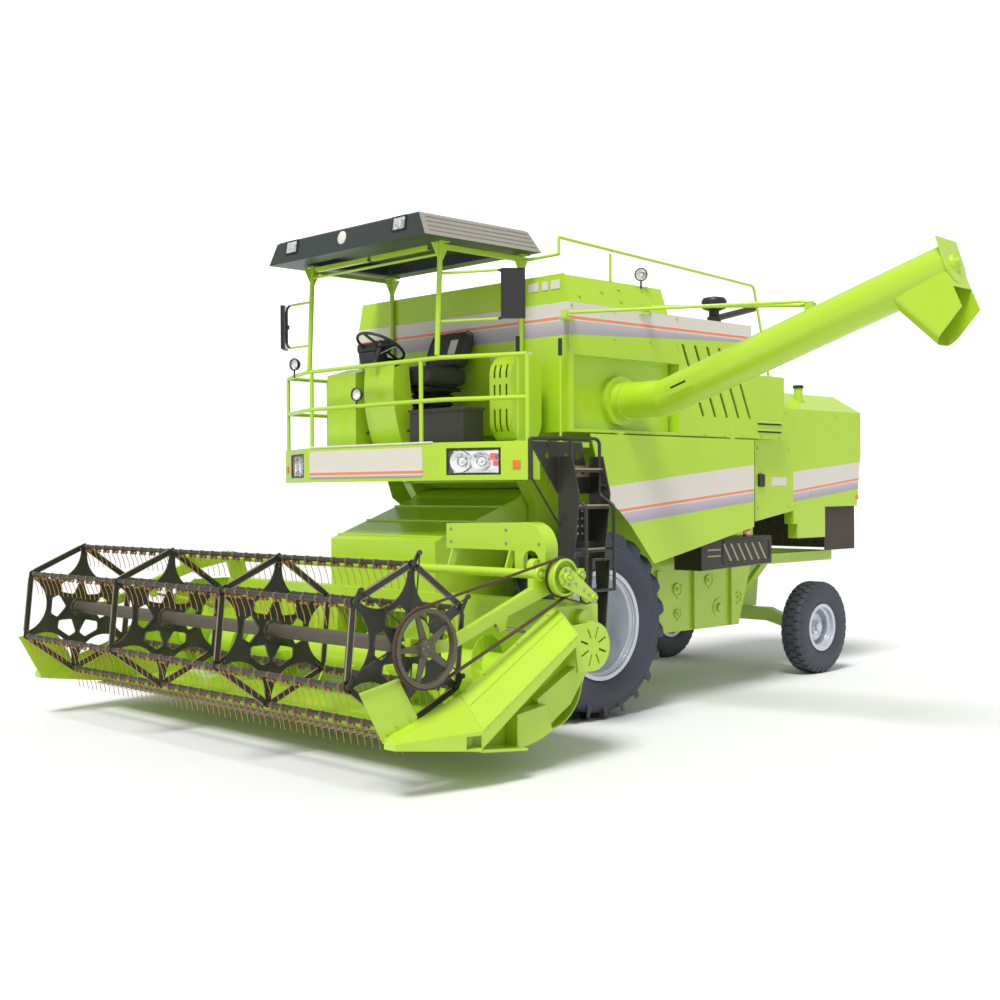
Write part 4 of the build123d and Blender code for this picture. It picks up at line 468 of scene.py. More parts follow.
paints = {
    "green_paint": green, "dark_steel": black, "tyre_rubber": rubber, "silver_paint": silver,
    "curtain_rubber": curtainRubber, "seat_vinyl": vinyl, "canopy_shell": shell, "belt_rubber": beltRubber,
    "bare_steel": steel, "engine_paint": cast,
}
nodePaints = {"grain_tank": bandedGreen["tank"], "engine_housing": bandedGreen["tank"],
              "straw_hood": bandedGreen["hood"], "side_door_left": bandedGreen["door"],
              "side_door_right": bandedGreen["door"], }
for part in frame["record"]["subparts"]:
    piece = nodes[part["node"]]
    piece.data.materials.clear()
    piece.data.materials.append(nodePaints.get(part["node"], paints[part["material_slot"]]))


def paintFaces(node, paint, low, high, facing=None, least=0.5):
    # faces whose middle lies between two corners, and that face one way if asked, take another paint
    mesh = nodes[node].data
    if paint.name not in mesh.materials:
        mesh.materials.append(paint)
    middle, normal = np.zeros(len(mesh.polygons) * 3), np.zeros(len(mesh.polygons) * 3)
    index = np.zeros(len(mesh.polygons), np.int32)
    mesh.polygons.foreach_get("center", middle)
    mesh.polygons.foreach_get("normal", normal)
    mesh.polygons.foreach_get("material_index", index)
    middle, normal = middle.reshape(-1, 3) - axleAt, normal.reshape(-1, 3)
    chosen = np.all((middle > low) & (middle < high), axis=1)
    if facing is not None:
        chosen &= normal @ np.asarray(facing, float) > least
    index[chosen] = mesh.materials.find(paint.name)
    mesh.polygons.foreach_set("material_index", index)
    mesh.update()


wide = 9.0
paintFaces("canopy", shellBlack, (-wide, -wide, 0), (wide, wide, wide), (1, 0, 0), 0.3)
paintFaces("canopy", shellBlack, (-wide, -wide, 0), (wide, wide, wide), (0, 0, -1), 0.1)
paintFaces("canopy", shellBlack, (0.55, -0.71, 3.69), (1.5, 0.71, 3.775))
paintFaces("guard_rails", plastic, (1.25, -1.35, 3.04), (1.42, -1.05, 3.43))
paintFaces("guard_rails", plastic, (0.97, 1.225, 3.08), (1.20, 1.47, 3.48))
paintFaces("controls", plastic, (0.94, -0.32, 2.84), (1.46, 0.20, 3.15))
paintFaces("reel", bronze, (2.712, -2.15, 0.827), (2.828, 2.15, 0.943))
paintFaces("reel", bronze, (2.50, 2.20, 0.60), (3.05, 2.34, 1.20))
paintFaces("controls", plastic, (0.48, 1.20, 2.845), (1.00, 1.36, 3.02))
paintFaces("engine_housing", plastic, (-1.85, 0.95, 3.286), (-1.55, 1.22, 3.62))
paintFaces("engine_housing", black, (-2.55, 0.90, 3.286), (-1.76, 1.05, 3.62))
print("paints made")


bodyOf = {node: body for body, names in frame["record"]["behaviour"]["bodies"].items() for node in names}


def spun(shape, angles, centre=(0, 0, 0)):
    # one copy of the shape at each angle in degrees round a line along y
    points, faces = shape
    angle = np.radians(np.asarray(angles, float))
    c, s, none, one = np.cos(angle), np.sin(angle), np.zeros(len(angle)), np.ones(len(angle))
    turn = np.stack([c, none, s, none, one, none, -s, none, c], -1).reshape(-1, 3, 3)
    copies = np.einsum("kij,nj->kni", turn, points - np.asarray(centre, float)) + centre
    steps = (np.arange(len(angle)) * len(points))[:, None, None]
    return copies.reshape(-1, 3), np.where(faces[None] < 0, -1, faces[None] + steps).reshape(-1, 4)


def lensGlass(name, colour=(0.95, 0.97, 1.0, 1), clearness=0.9):
    # clear moulded lens with fine upright flutes
    material = bpy.data.materials.new(name)
    material.use_nodes = True
    tree = material.node_tree
    shader = tree.nodes["Principled BSDF"]
    place = addNode(tree, "TexCoord").outputs["Object"]
    wave = addNode(tree, "TexWave", {"Vector": place, "Scale": 22.0, "Distortion": 0.4},
                   bands_direction="Y").outputs[1]
    bump = addNode(tree, "Bump", {"Strength": 0.35, "Distance": 0.002, "Height": wave}).outputs[0]
    tree.links.new(bump, shader.inputs["Normal"])
    shader.inputs["Base Color"].default_value = colour
    shader.inputs["Roughness"].default_value = 0.08
    shader.inputs["Transmission Weight"].default_value = clearness
    shader.inputs["IOR"].default_value = 1.3
    return material


chrome = coat("lampChrome", tone(226, 226, 222), tone(250, 250, 250), metallic=1.0,
              **{"Gloss": 0.1, "Dust": 0.02, "Grain Height": 0.0})
clear = lensGlass("clearLens")
orange = coat("orangeLens", tone(246, 112, 34), tone(255, 160, 90), clear=0.5,
              **{"Gloss": 0.2, "Grain Scale": 260.0, "Grain Height": 0.0008})
red = coat("redLens", tone(214, 52, 34), tone(240, 110, 90), clear=0.5,
           **{"Gloss": 0.2, "Grain Scale": 260.0, "Grain Height": 0.0008})
pale = coat("paleLabel", tone(222, 216, 206), tone(240, 236, 230),
            **{"Gloss": 0.4, "Grain Height": 0.0, "Edge Width": 0.001})
platePaint = coat("frontPlate", tone(222, 216, 206), tone(240, 236, 230),
                  band={"side": 9.0, "front": 1.36, "rear": -9.0,
                        "lines": {"Top": 2.3, "Foot": 1.925, "Line": 1.972}}, **{"Gloss": 0.4})
tineSteel = coat("tineSteel", tone(186, 142, 82), tone(222, 188, 132), metallic=0.35,
                 **{"Gloss": 0.45, "Edge Width": 0.001})
coilSteel = coat("coilSteel", tone(120, 96, 66), tone(196, 160, 112), metallic=0.3,
                 **{"Gloss": 0.45, "Edge Width": 0.001})
tan = coat("treadSteel", tone(176, 160, 132), tone(206, 194, 168), metallic=0.5, **{"Gloss": 0.45})
# near-black for holes and slots drawn as flat patches: painted shade
paintedHoleShade = coat("shadedHole", tone(26, 30, 22), tone(40, 44, 36), **{"Gloss": 0.7})

# the slot listed for each paint; makePiece looks it up unless a piece names another, and does not use the
# result
slotPaints = {
    "green_paint": (green,),
    "dark_steel": (black, bronze, plastic, orange, red, paintedHoleShade),
    "tyre_rubber": (rubber,),
    "silver_paint": (silver, chrome, clear, pale, platePaint),
    "curtain_rubber": (curtainRubber,),
    "seat_vinyl": (vinyl,),
    "canopy_shell": (shell,),
    "bare_steel": (steel, tineSteel, coilSteel, tan),
}
slotOf = {paint.name: slotName for slotName, group in slotPaints.items() for paint in group}


# tyres: a lathe-turned carcass with rows of lugs standing on it
frontTyre = {"at": (0, 1.075, 0.751), "radius": 0.751, "lugs": 22, "sides": 96,
             "beads": ((0.53, 0.2085), (0.632, 0.2165)), "lean": 0.34,
             "profile": [(0.447, 0.162), (0.480, 0.187), (0.540, 0.214), (0.600, 0.2235), (0.655, 0.216),
                         (0.688, 0.190), (0.704, 0.145), (0.712, 0.08), (0.714, 0.0)],
             "inside": [(0.460, 0.148), (0.600, 0.196), (0.690, 0.13)]}
rearTyre = {"at": (-3.518, 0.945, 0.452), "radius": 0.452, "blocks": 34, "sides": 72,
            "profile": [(0.2345, 0.083), (0.255, 0.096), (0.300, 0.110), (0.345, 0.1145), (0.390, 0.111),
                        (0.420, 0.100), (0.436, 0.078), (0.440, 0.04), (0.441, 0.0)],
            "inside": [(0.245, 0.072), (0.330, 0.098), (0.420, 0.07)]}


def carcass(sizes):
    # closed outline of one half, its mirror image and the hollow inside, turned round the axle
    outer, inner = np.array(sizes["profile"]), np.array(sizes["inside"])
    flip = np.array((1, -1))
    outline = np.vstack([outer, (outer * flip)[-2::-1], inner * flip, inner[::-1], outer[:1]])
    return lathe(outline, sides=sizes["sides"])


def frontLugs(sizes):
    # each lug runs from just over the middle line to the shoulder and down it, leaning back as it goes:
    # angle = start - lean x share, with its top at the tyre's radius and its foot inside the carcass
    share = np.array((0.0, 0.2, 0.4, 0.6, 0.78, 0.92, 1.0))
    across = np.array((-0.022, 0.045, 0.095, 0.142, 0.186, 0.214, 0.2215))
    top = sizes["radius"] - np.array((0.0, 0.0, 0.001, 0.002, 0.008, 0.030, 0.078))
    foot = np.array((0.706, 0.705, 0.702, 0.695, 0.680, 0.655, 0.640))
    width = np.array((0.019, 0.019, 0.020, 0.021, 0.023, 0.026, 0.026))
    angle = -sizes["lean"] * share
    radius = np.stack([foot, top, top, foot], 1)
    spread = np.stack([-width * 1.25, -width * 0.8, width * 0.8, width * 1.25], 1) / sizes["radius"]
    turn = angle[:, None] + spread
    side = across[:, None] * np.array((1.0, 1.008, 1.008, 1.0)) - np.array((0.004, 0, 0, 0.004))
    lug = surface(np.stack([radius * np.sin(turn), side, radius * np.cos(turn)], -1), closeColumns=True,
                  caps=True)
    pitch = 360 / sizes["lugs"]
    steps = np.arange(sizes["lugs"]) * pitch
    return merged(spun(lug, steps), mirrored(spun(lug, steps + pitch / 2)))


def rearBlocks(sizes):
    # three columns of blocks; the outer ones are notched round the shoulder
    pitch = 360 / sizes["blocks"]
    steps = np.arange(sizes["blocks"]) * pitch
    made = []
    for low, high, shift, share in ((-0.036, 0.036, 0.5, 0.80), (0.046, 0.112, 0.0, 0.66),
                                    (-0.112, -0.046, 0.0, 0.66)):
        half = math.radians(pitch * share / 2)
        y = np.linspace(low, high, 4)
        fall = np.clip((np.abs(y) - 0.075) / 0.037, 0, 1) ** 2 * 0.045
        top = sizes["radius"] - fall
        turn = np.array((-half * 1.05, -half, half, half * 1.05))
        radius = np.stack([top - 0.020, top, top, top - 0.020], 1)
        grid = np.stack([radius * np.sin(turn), np.repeat(y[:, None], 4, 1), radius * np.cos(turn)], -1)
        made.append(spun(surface(grid, closeColumns=True, caps=True), steps + shift * pitch))
    return merged(*made)


def makeTyres():
    beads = merged(*[lathe([(r, y), (r + 0.004, y + 0.006), (r + 0.010, y)], sides=frontTyre["sides"])
                     for r, y in frontTyre["beads"]])
    front = merged(carcass(frontTyre), frontLugs(frontTyre), bothSides(beads))
    rear = merged(carcass(rearTyre), rearBlocks(rearTyre))
    for word in ("left", "right"):
        for name, shape, sizes in (("Front", front, frontTyre), ("Rear", rear, rearTyre)):
            node = "tyre_" + name.lower() + "_" + word
            makePiece("tyre" + name + word, onSide(moved(shape, sizes["at"]), word), rubber, bodyOf[node],
                      stands=(node,))


makeTyres()
print("tyres made")


# wheel centres: nuts, cap, valve and rolled steps on the rims
wheelNuts = {"Front": {"count": 8, "circle": 0.082, "out": -0.008, "size": 0.013},
             "Rear": {"count": 6, "circle": 0.062, "out": 0.012, "size": 0.011}}


def boltCircle(at, circle, count, axis, size, start=0.0):
    # heads evenly round a circle that faces along y
    angles = np.radians(np.arange(count) * 360 / count + start)
    return [bolt((at[0] + circle * math.cos(a), at[1], at[2] + circle * math.sin(a)), axis, size)
            for a in angles]


def wheelTrim():
    nuts = {name: boltCircle((0, n["out"], 0), n["circle"], n["count"], "y", n["size"])
            for name, n in wheelNuts.items()}
    cap = lathe([(0.0, 0.034), (0.05, 0.034), (0.056, 0.028), (0.056, 0.0), (0.0, 0.0)], sides=24)
    valve = tube([(0.352, -0.05, 0.03), (0.356, 0.02, 0.03), (0.36, 0.06, 0.03)], 0.005)
    steps = [lathe([(r, y - 0.003), (r + 0.006, y + 0.004), (r + 0.012, y - 0.003)], sides=72)
             for r, y in ((0.40, 0.155), (0.425, 0.168))]
    made = {"Front": [cap] + nuts["Front"] + [valve] + steps, "Rear": nuts["Rear"]}
    for word in ("left", "right"):
        for name, sizes in (("Front", frontTyre), ("Rear", rearTyre)):
            shape = onSide(moved(merged(*made[name]), sizes["at"]), word)
            makePiece("nuts" + name + word, shape, silver, bodyOf["rim_" + name.lower() + "_" + word])


wheelTrim()
print("wheel trim made")


# reel tines: spring wire coiled round each bat, two legs to a coil, leaning back
tines = {"first": -2.03, "pitch": 0.145, "count": 29, "legs": 0.072, "length": 0.142, "lean": 22.0,
         "wire": 0.0030, "coil": 0.0115, "drop": 0.031, "turns": 3}
reel = {"at": (2.770, 0.885), "radius": 0.500, "firstBat": 96.0, "bats": 6,
        "stars": (-2.090, -0.697, 0.697, 2.090), "room": 0.058}


def onReel(index, radius, y):
    # a point at some radius on the line from the reel's axis to one of its bats
    angle = math.radians(reel["firstBat"] - 360 / reel["bats"] * index)
    return np.array((reel["at"][0] + radius * math.cos(angle), y, reel["at"][1] + radius * math.sin(angle)))


def makeTines():
    t = tines
    lean = math.radians(t["lean"])
    down = np.array((-math.sin(lean), 0, -math.cos(lean)))
    ahead = np.array((math.cos(lean), 0, -math.sin(lean)))
    wires = []
    # coil: its angle grows as it runs from the clamp out to the leg, and hangs just below the bat
    turn = np.linspace(0, t["turns"] * 2 * np.pi, t["turns"] * 8 + 1)
    for side in (-1, 1):
        run = side * np.linspace(0.010, t["legs"] / 2, len(turn))
        middle = down * t["drop"]
        coil = np.stack([middle[0] + t["coil"] * np.cos(turn), run, middle[2] + t["coil"] * np.sin(turn)], 1)
        wires.append(tube(coil, t["wire"] * 1.25, 4, (0, 1, 0.01)))
        start = coil[-1]
        wires.append(tube([start, start + down * 0.04, start + down * t["length"] * 0.6,
                           start + down * t["length"] + ahead * 0.012], t["wire"], 4, (0, 1, 0)))
    clamp = merged(lathe([(0.0178, -0.011), (0.0205, -0.011), (0.0205, 0.011), (0.0178, 0.011)], axis="y",
                         sides=12), roundedBlock((-0.008, -0.011, -0.036), (0.008, 0.011, -0.016)))
    # a pair that would meet a star plate stands a little to its side
    across = t["first"] + np.arange(t["count"]) * t["pitch"]
    for star in reel["stars"]:
        aside = across - star
        across = np.where(abs(aside) < reel["room"], star + np.sign(aside) * reel["room"], across)
    places = [(0, y, 0) for y in across]
    for index in range(reel["bats"]):
        at = onReel(index, reel["radius"], 0)
        body = bodyOf["reel_bat_%d" % (index + 1)]
        makePiece("tines%d" % (index + 1), moved(repeated(merged(*wires), places), at), tineSteel, body)
        makePiece("clamps%d" % (index + 1), moved(repeated(clamp, places), at), coilSteel, body)


makeTines()
print("tines made")


# knife: pointed guards with triangular sections between them
knife = {"pitch": 0.0762, "count": 57, "rear": 2.452, "tip": 2.600, "height": 0.236}


def makeKnife():
    k = knife
    share = np.array((0.0, 0.30, 0.55, 0.85, 1.0))
    x = k["rear"] + share * (k["tip"] - k["rear"])
    half = np.array((0.016, 0.014, 0.009, 0.004, 0.001))
    rise = np.array((0.011, 0.011, 0.009, 0.004, 0.001))
    sink = np.array((0.0, 0.0, -0.001, -0.005, -0.008))
    corner = np.array(((1, 1), (1, -1), (-1, -1), (-1, 1)))
    y = half[:, None] * corner[None, :, 0]
    z = k["height"] + sink[:, None] + rise[:, None] * corner[None, :, 1]
    guard = surface(np.stack([np.repeat(x[:, None], 4, 1), y, z], -1), closeColumns=True, caps=True)
    section = plate([(2.470, -0.036), (2.470, 0.036), (2.545, 0.006), (2.545, -0.006)], 0.2475, 0.2505, 2)
    places = [(0, (i - (k["count"] - 1) / 2) * k["pitch"], 0) for i in range(k["count"])]
    makePiece("knifeGuards", repeated(guard, places), tan, "header")
    makePiece("knifeSections", repeated(section, places), steel, "header")


makeKnife()
print("knife made")


# head lamps in the beam's angled wings, built flat and then turned into place
headLamp = {"middle": (1.2645, 1.0975, 2.045), "turn": 22.27, "half": (0.216, 0.096),
            "bowls": ((-0.118, 0.078), (0.042, 0.068))}


def headLampShapes():
    wide, high = headLamp["half"]
    rimOut = np.array([(-wide, -high), (wide, -high), (wide, high), (-wide, high)])
    frame = [plate([(a, -high), (a, high), (b, high), (b, -high)], -0.030, 0.002, 0)
             for a, b in ((-wide, 0.012 - wide), (wide - 0.012, wide))]
    frame += [plate([(-wide, a), (-wide, b), (wide, b), (wide, a)], -0.030, 0.002, 0)
              for a, b in ((-high, 0.010 - high), (high - 0.010, high))]
    back = [plate(rimOut * 0.985, -0.0425, -0.036, 0)]
    bowls = [lathe([(0.014, -0.041), (0.030, -0.0385), (0.055, -0.026), (r, -0.012), (r + 0.004, -0.012),
                    (r + 0.004, -0.036)], (0, y, 0), "x", 32) for y, r in headLamp["bowls"]]
    bulbs = [lathe([(0.0, -0.014), (0.010, -0.017), (0.013, -0.026), (0.010, -0.040)], (0, y, 0), "x", 16)
             for y, _ in headLamp["bowls"]]
    marker = [roundedBlock((-0.034, 0.128, 0.010), (-0.012, 0.172, 0.060), 0.010, 0),
              roundedBlock((-0.034, 0.150, -0.035), (-0.012, 0.196, 0.006), 0.010, 0)]
    # lens: a shallow dome over the whole opening, depth = 7 mm x (1 - u^4)(1 - v^4)
    u, v = np.meshgrid(np.linspace(-1, 1, 17), np.linspace(-1, 1, 9), indexing="ij")
    dome = 0.007 * (1 - u ** 4) * (1 - v ** 4) - 0.006
    front = np.stack([dome, u * (wide - 0.010), v * (high - 0.008)], -1)
    lens = surface(front)
    groups = {"frame": frame, "chrome": back + bowls, "bulb": bulbs, "marker": marker, "Lens": [lens]}
    placed = {key: moved(turned(merged(*shapes), "Z", headLamp["turn"]), headLamp["middle"])
              for key, shapes in groups.items()}
    lamps = {key: bothSides(shape) for key, shape in placed.items()}
    # the open lens sheet keeps its order of faces on the far side, so that it is seen through from the front
    points, faces = placed["Lens"]
    lamps["Lens"] = merged(placed["Lens"], (points * (1, -1, 1), faces))
    return lamps


def makeHeadLamps():
    paintOf = {"frame": plastic, "chrome": chrome, "bulb": pale, "marker": red, "Lens": clear}
    for key, shape in headLampShapes().items():
        makePiece("headLamp" + key, shape, paintOf[key], "chassis", closed=key not in ("chrome", "Lens"))
    reflector = moved(turned(roundedBlock((0.0, -0.030, 1.99), (0.008, 0.030, 2.05), 0.006, 0), "Z",
                             headLamp["turn"]), (1.134, 1.420, 0))
    makePiece("sideReflectors", bothSides(reflector), orange, "chassis", bevel=0.002)


makeHeadLamps()
makePiece("frontPlate", roundedBlock((1.3703, -0.778, 1.935), (1.3735, 0.650, 2.159), 0.02, 0), platePaint,
          "chassis")
# a pale bar along the beam's top front edge: painted highlight
makePiece("beamPaintedHighlight", tube([(1.368, -0.76, 2.192), (1.368, 0.76, 2.192)], 0.009), pale, "chassis")
print("head lamps made")


def aimed(shape, ahead, at, up=(0, 0, 1)):
    # the shape's x axis turned to point ahead, its z axis kept as near up as that allows
    ahead = np.asarray(ahead, float) / np.linalg.norm(ahead)
    across = np.cross(np.asarray(up, float), ahead)
    across /= np.linalg.norm(across)
    turn = np.stack([ahead, across, np.cross(ahead, across)], 1)
    return shape[0] @ turn.T + np.asarray(at, float), shape[1]


# straw curtain: ribbed rubber sheets hung inside the hood's foot
curtain = {"low": 1.192, "high": 1.690, "rib": 0.0035, "pitch": 0.046, "rear": -4.5525, "front": -3.962,
           "side": 0.7825}


def makeCurtain():
    c = curtain
    runs = {"Rear": ((c["rear"], -0.780), (c["rear"], 0.780)),
            "Left": ((c["rear"] + 0.01, c["side"]), (c["front"], c["side"])),
            "Right": ((c["front"], -c["side"]), (c["rear"] + 0.01, -c["side"]))}
    for name, (start, end) in runs.items():
        start, end = np.array(start), np.array(end)
        length = np.linalg.norm(end - start)
        along = (end - start) / length
        out = np.array((along[1], -along[0])) * (-1 if name == "Rear" else 1)
        # place = start + along x s, pushed out by rib x sin(2 pi s / pitch)
        # and by a slow wave that grows downwards
        s = np.linspace(0, length, int(length / c["pitch"] * 8))
        share = np.linspace(0, 1, 12)
        wave = c["rib"] * np.sin(2 * np.pi * s / c["pitch"])[None] + 0.004 * share[:,
                None] * np.sin(3.1 * s + 1.0)[None]
        flat = start + along * s[None, :, None] + out * wave[..., None]
        z = np.repeat((c["high"] - (c["high"] - c["low"]) * share)[:, None], len(s), 1)
        grid = np.concatenate([flat, z[..., None]], -1)
        wide = float(np.linalg.norm(np.diff(grid[6], axis=0), axis=1).sum())
        piece = makePiece("curtain" + name, surface(grid), curtainRubber, "chassis",
                          stands=("straw_curtain",), closed=False, sharp=80)
        print("curtain", name, round(wide, 3), round(c["high"] - c["low"], 3))


makeCurtain()


# seat: two padded pieces with piping, a pan below and a base with a folded boot
seatSize = {"pan": (0.780, 0.050, 2.752), "panHalf": (0.218, 0.238, 0.078), "back": (0.545, 0.050, 2.985),
            "lean": -21.0, "backHalf": (0.055, 0.218, 0.160)}


def pad(half, roll=0.0, crown=0.015):
    # outline: superellipse of power 3.4 in x and z, thicker towards the front roll
    # it shrinks towards both ends along y
    angle = np.linspace(0, 2 * np.pi, 36, endpoint=False)
    c, s = np.cos(angle), np.sin(angle)
    x = np.sign(c) * np.abs(c) ** (2 / 3.4)
    z = np.sign(s) * np.abs(s) ** (2 / 3.4)
    share = np.linspace(-1, 1, 25)
    end = np.maximum((1 - np.abs(share) ** 7) ** 0.28, 0.55)
    rise = 1 + roll * np.clip(x, 0, 1) ** 2
    gridX = half[0] * x[None] * (0.9 + 0.1 * end[:, None])
    puff = crown * (1 - share[:, None] ** 2) * (1 - x[None] ** 2) * (z[None] > 0)
    quilt = -0.006 * np.exp(-((np.abs(share[:, None]) - 0.42) / 0.05) ** 2) * (z[None] > 0.5)
    gridZ = half[2] * z[None] * rise[None] * end[:, None] + puff + quilt
    gridY = np.repeat(half[1] * share[:, None], len(angle), 1)
    return surface(np.stack([gridX, gridY, gridZ], -1), closeColumns=True, caps=True)


def piping(half, at):
    angle = np.linspace(0, 2 * np.pi, 49)
    c, s = np.cos(angle), np.sin(angle)
    x, z = np.sign(c) * np.abs(c) ** (2 / 3.4), np.sign(s) * np.abs(s) ** (2 / 3.4)
    return tube(np.stack([half[0] * 0.992 * x, np.full(49, at), half[2] * 0.985 * z], 1), 0.005, 6, (0, 1, 0))


def makeSeat():
    s = seatSize
    cushion = moved(pad(s["panHalf"], 0.22, 0.018), s["pan"])
    back = moved(turned(pad(s["backHalf"], 0.0, 0.0), "Y", s["lean"]), s["back"])
    for name, shape in (("seatPan", cushion), ("seatBack", back)):
        piece = makePiece(name, shape, vinyl, "chassis", stands=("seat",), sharp=60, subdivide=1)
    trims = [moved(piping(s["panHalf"], y), s["pan"]) for y in (-0.205, 0.205)]
    trims += [moved(turned(piping(s["backHalf"], y), "Y", s["lean"]), s["back"]) for y in (-0.190, 0.190)]
    makePiece("seatPiping", merged(*trims), vinyl, "chassis", stands=("seat",), sharp=60)
    # boot below the seat: a square column whose half width goes in and out with the folds
    z = np.linspace(2.395, 2.640, 15)
    half = 0.118 + 0.012 * np.cos(np.arange(15) * np.pi)
    corner = np.array(((1, 1), (-1, 1), (-1, -1), (1, -1)))
    boot = np.concatenate([np.array((0.74, 0.05)) + half[:, None, None] * corner[None],
                           np.repeat(z[:, None, None], 4, 1)], -1)
    base = [surface(boot, closeColumns=True, caps=True), roundedBlock((0.600, -0.070, 2.1905),
            (0.880, 0.170, 2.395), 0.02), roundedBlock((0.565, -0.125, 2.640), (0.955, 0.225, 2.668), 0.03)]
    base += [roundedBlock((0.60, y, 2.668), (0.93, y + 0.03, 2.680), 0.0) for y in (-0.10, 0.17)]
    base += [tube([(0.88, 0.235, 2.62), (0.97, 0.245, 2.63), (1.0, 0.25, 2.66)], 0.007)]
    makePiece("seatBase", merged(*base), plastic, "chassis", bevel=0.003, stands=("seat",))
    label = turned(roundedBlock((0.0570, 0.055, -0.060), (0.0580, 0.145, 0.070), 0.008, 0), "Y", s["lean"])
    makePiece("seatLabel", moved(label, s["back"]), pale, "chassis", stands=("seat",))


makeSeat()
print("seat and curtain made")


# lamps: round work lamps on short stems, square ones let into the canopy's front
roundLamps = [((1.215, -1.20, 2.925), (1, 0.15, 0)), ((1.352, -0.17, 2.605), (1, 0.2, 0.0)),
              ((-0.480, 1.262, 3.590), (0.7, 1, -0.15))]


def makeLamps():
    housings, bright, lens = [], [], []
    housing = [(0.0, -0.052), (0.026, -0.050), (0.046, -0.030), (0.055, -0.004), (0.055, 0.008),
               (0.049, 0.010), (0.047, 0.0)]
    for at, ahead in roundLamps:
        housings.append(aimed(lathe(housing, axis="x", sides=24), ahead, at))
        housings.append(tube([np.array(at) - (0, 0, 0.115), np.array(at) - (0, 0, 0.045)], 0.008))
        bright.append(aimed(lathe([(0.006, -0.040), (0.030, -0.030), (0.047, 0.001)], axis="x", sides=24),
                            ahead, at))
        lens.append(aimed(lathe([(0.0, 0.012), (0.020, 0.010), (0.036, 0.006), (0.048, 0.0)], axis="x",
                                sides=24), ahead, at))
    # canopy lamps lie against the sloping front
    for y in (-0.677, 0.675):
        at, ahead = (1.6045, y, 3.818), (1, 0, 0.128)
        for y0, z0, y1, z1 in ((-0.080, -0.055, -0.070, 0.055), (0.070, -0.055, 0.080, 0.055),
                               (-0.080, -0.055, 0.080, -0.046), (-0.080, 0.046, 0.080, 0.055)):
            housings.append(aimed(plate([(y0, z0), (y0, z1), (y1, z1), (y1, z0)], -0.012, 0.010, 0), ahead,
                                  at))
        bowl = lathe([(0.010, -0.008), (0.024, -0.004), (0.040, 0.004), (0.046, 0.006)], axis="x", sides=24)
        bright += [aimed(roundedBlock((-0.010, -0.072, -0.048), (-0.003, 0.072, 0.048), 0.0, 0), ahead, at)]
        bright += [aimed(moved(bowl, (0.0, side, 0)), ahead, at) for side in (-0.030, 0.030)]
        u, v = np.meshgrid(np.linspace(-1, 1, 13), np.linspace(-1, 1, 9), indexing="ij")
        lens.append(aimed(surface(np.stack([0.006 + 0.004 * (1 - u ** 4) * (1 - v ** 4), u * 0.071,
                                            v * 0.047], -1)), ahead, at))
    makePiece("lampHousings", merged(*housings), plastic, "chassis")
    makePiece("lampMirrors", merged(*bright), chrome, "chassis")
    makePiece("lampLenses", merged(*lens), clear, "chassis", closed=False)
    disc = aimed(lathe([(0, 0.008), (0.046, 0.008), (0.052, 0.004), (0.052, -0.004)], axis="x", sides=32),
                 (1, 0, 0.128), (1.6065, -0.014, 3.805))
    makePiece("canopyDisc", disc, pale, "chassis")


makeLamps()


# canopy: ribs on its sides and green angle irons below its edge
canopySizes = {"ribs": (0.22, 0.42, 0.62, 0.82), "ribSize": 0.0065, "foot": (0.400, 1.620, 0.980, 3.700),
               "lean": (0.067, -0.023, -0.0945, 0.180), "iron": ((-0.016, -0.020), (0.016, -0.020),
        (0.016, -0.016), (-0.012, -0.016), (-0.012, 0.018), (-0.016, 0.018)),
               "irons": (((0.46, 0.80, 3.668), (1.30, 0.80, 3.668)),
                         ((1.335, 0.70, 3.668), (1.335, 0.02, 3.668))),
               "gusset": ((-0.09, 3.688), (0.09, 3.688), (0.02, 3.560), (-0.02, 3.560)),
               "gussets": (1.31, 0.45), "rows": np.arange(0.56, 1.50, 0.16), "row": (0.06, 0.84),
               "rowHeight": (3.8795, 3.8850)}


def canopyTrim():
    c = canopySizes
    ribs = []
    for share in c["ribs"]:
        rear, front, y, z = (start + lean * share for start, lean in zip(c["foot"], c["lean"]))
        ribs.append(tube([(rear + 0.03, y, z), (front - 0.05, y, z)], c["ribSize"], 6))
    makePiece("canopyRibs", bothSides(merged(*ribs)), shell, "chassis")
    rails = [swept(c["iron"], path) for path in c["irons"]]
    rails += [plate([(x + a, b) for a, b in c["gusset"]], 0.797, 0.803, 1) for x in c["gussets"]]
    makePiece("canopyIrons", bothSides(merged(*rails)), green, "chassis")
    low, high = c["rowHeight"]
    rows = [roundedBlock((x, -c["row"][1], low), (x + c["row"][0], c["row"][1], high), 0.02)
            for x in c["rows"]]
    makePiece("canopyTop", merged(*rows), shell, "chassis", bevel=0.002)


canopyTrim()


# mirrors: glass on the side that faces the operator, clamp straps round the tube
mirrorSizes = {"at": ((1, (1.070, 1.330, 3.280)), (-1, (1.315, -1.200, 3.230))), "turn": 45,
               "glass": (0.080, 0.178), "edge": (0.086, 0.183)}


def makeMirrors():
    m = mirrorSizes
    glass, straps = [], []
    wide, high = m["edge"]
    edge = [(-wide, -high), (wide, -high), (wide, high), (-wide, high), (-wide, -high)]
    for side, at in m["at"]:
        pane = roundedBlock((-0.0185, -m["glass"][0], -m["glass"][1]), (-0.0153, *m["glass"]), 0.015, 0)
        glass.append(moved(turned(pane, "Z", side * m["turn"]), at))
        strap = tube([(0.016, y, z) for y, z in edge], 0.004, 6, (1, 0, 0))
        straps.append(moved(turned(strap, "Z", side * m["turn"]), at))
    makePiece("mirrorGlass", merged(*glass), chrome, "chassis")
    makePiece("mirrorEdges", merged(*straps), plastic, "chassis")


makeMirrors()


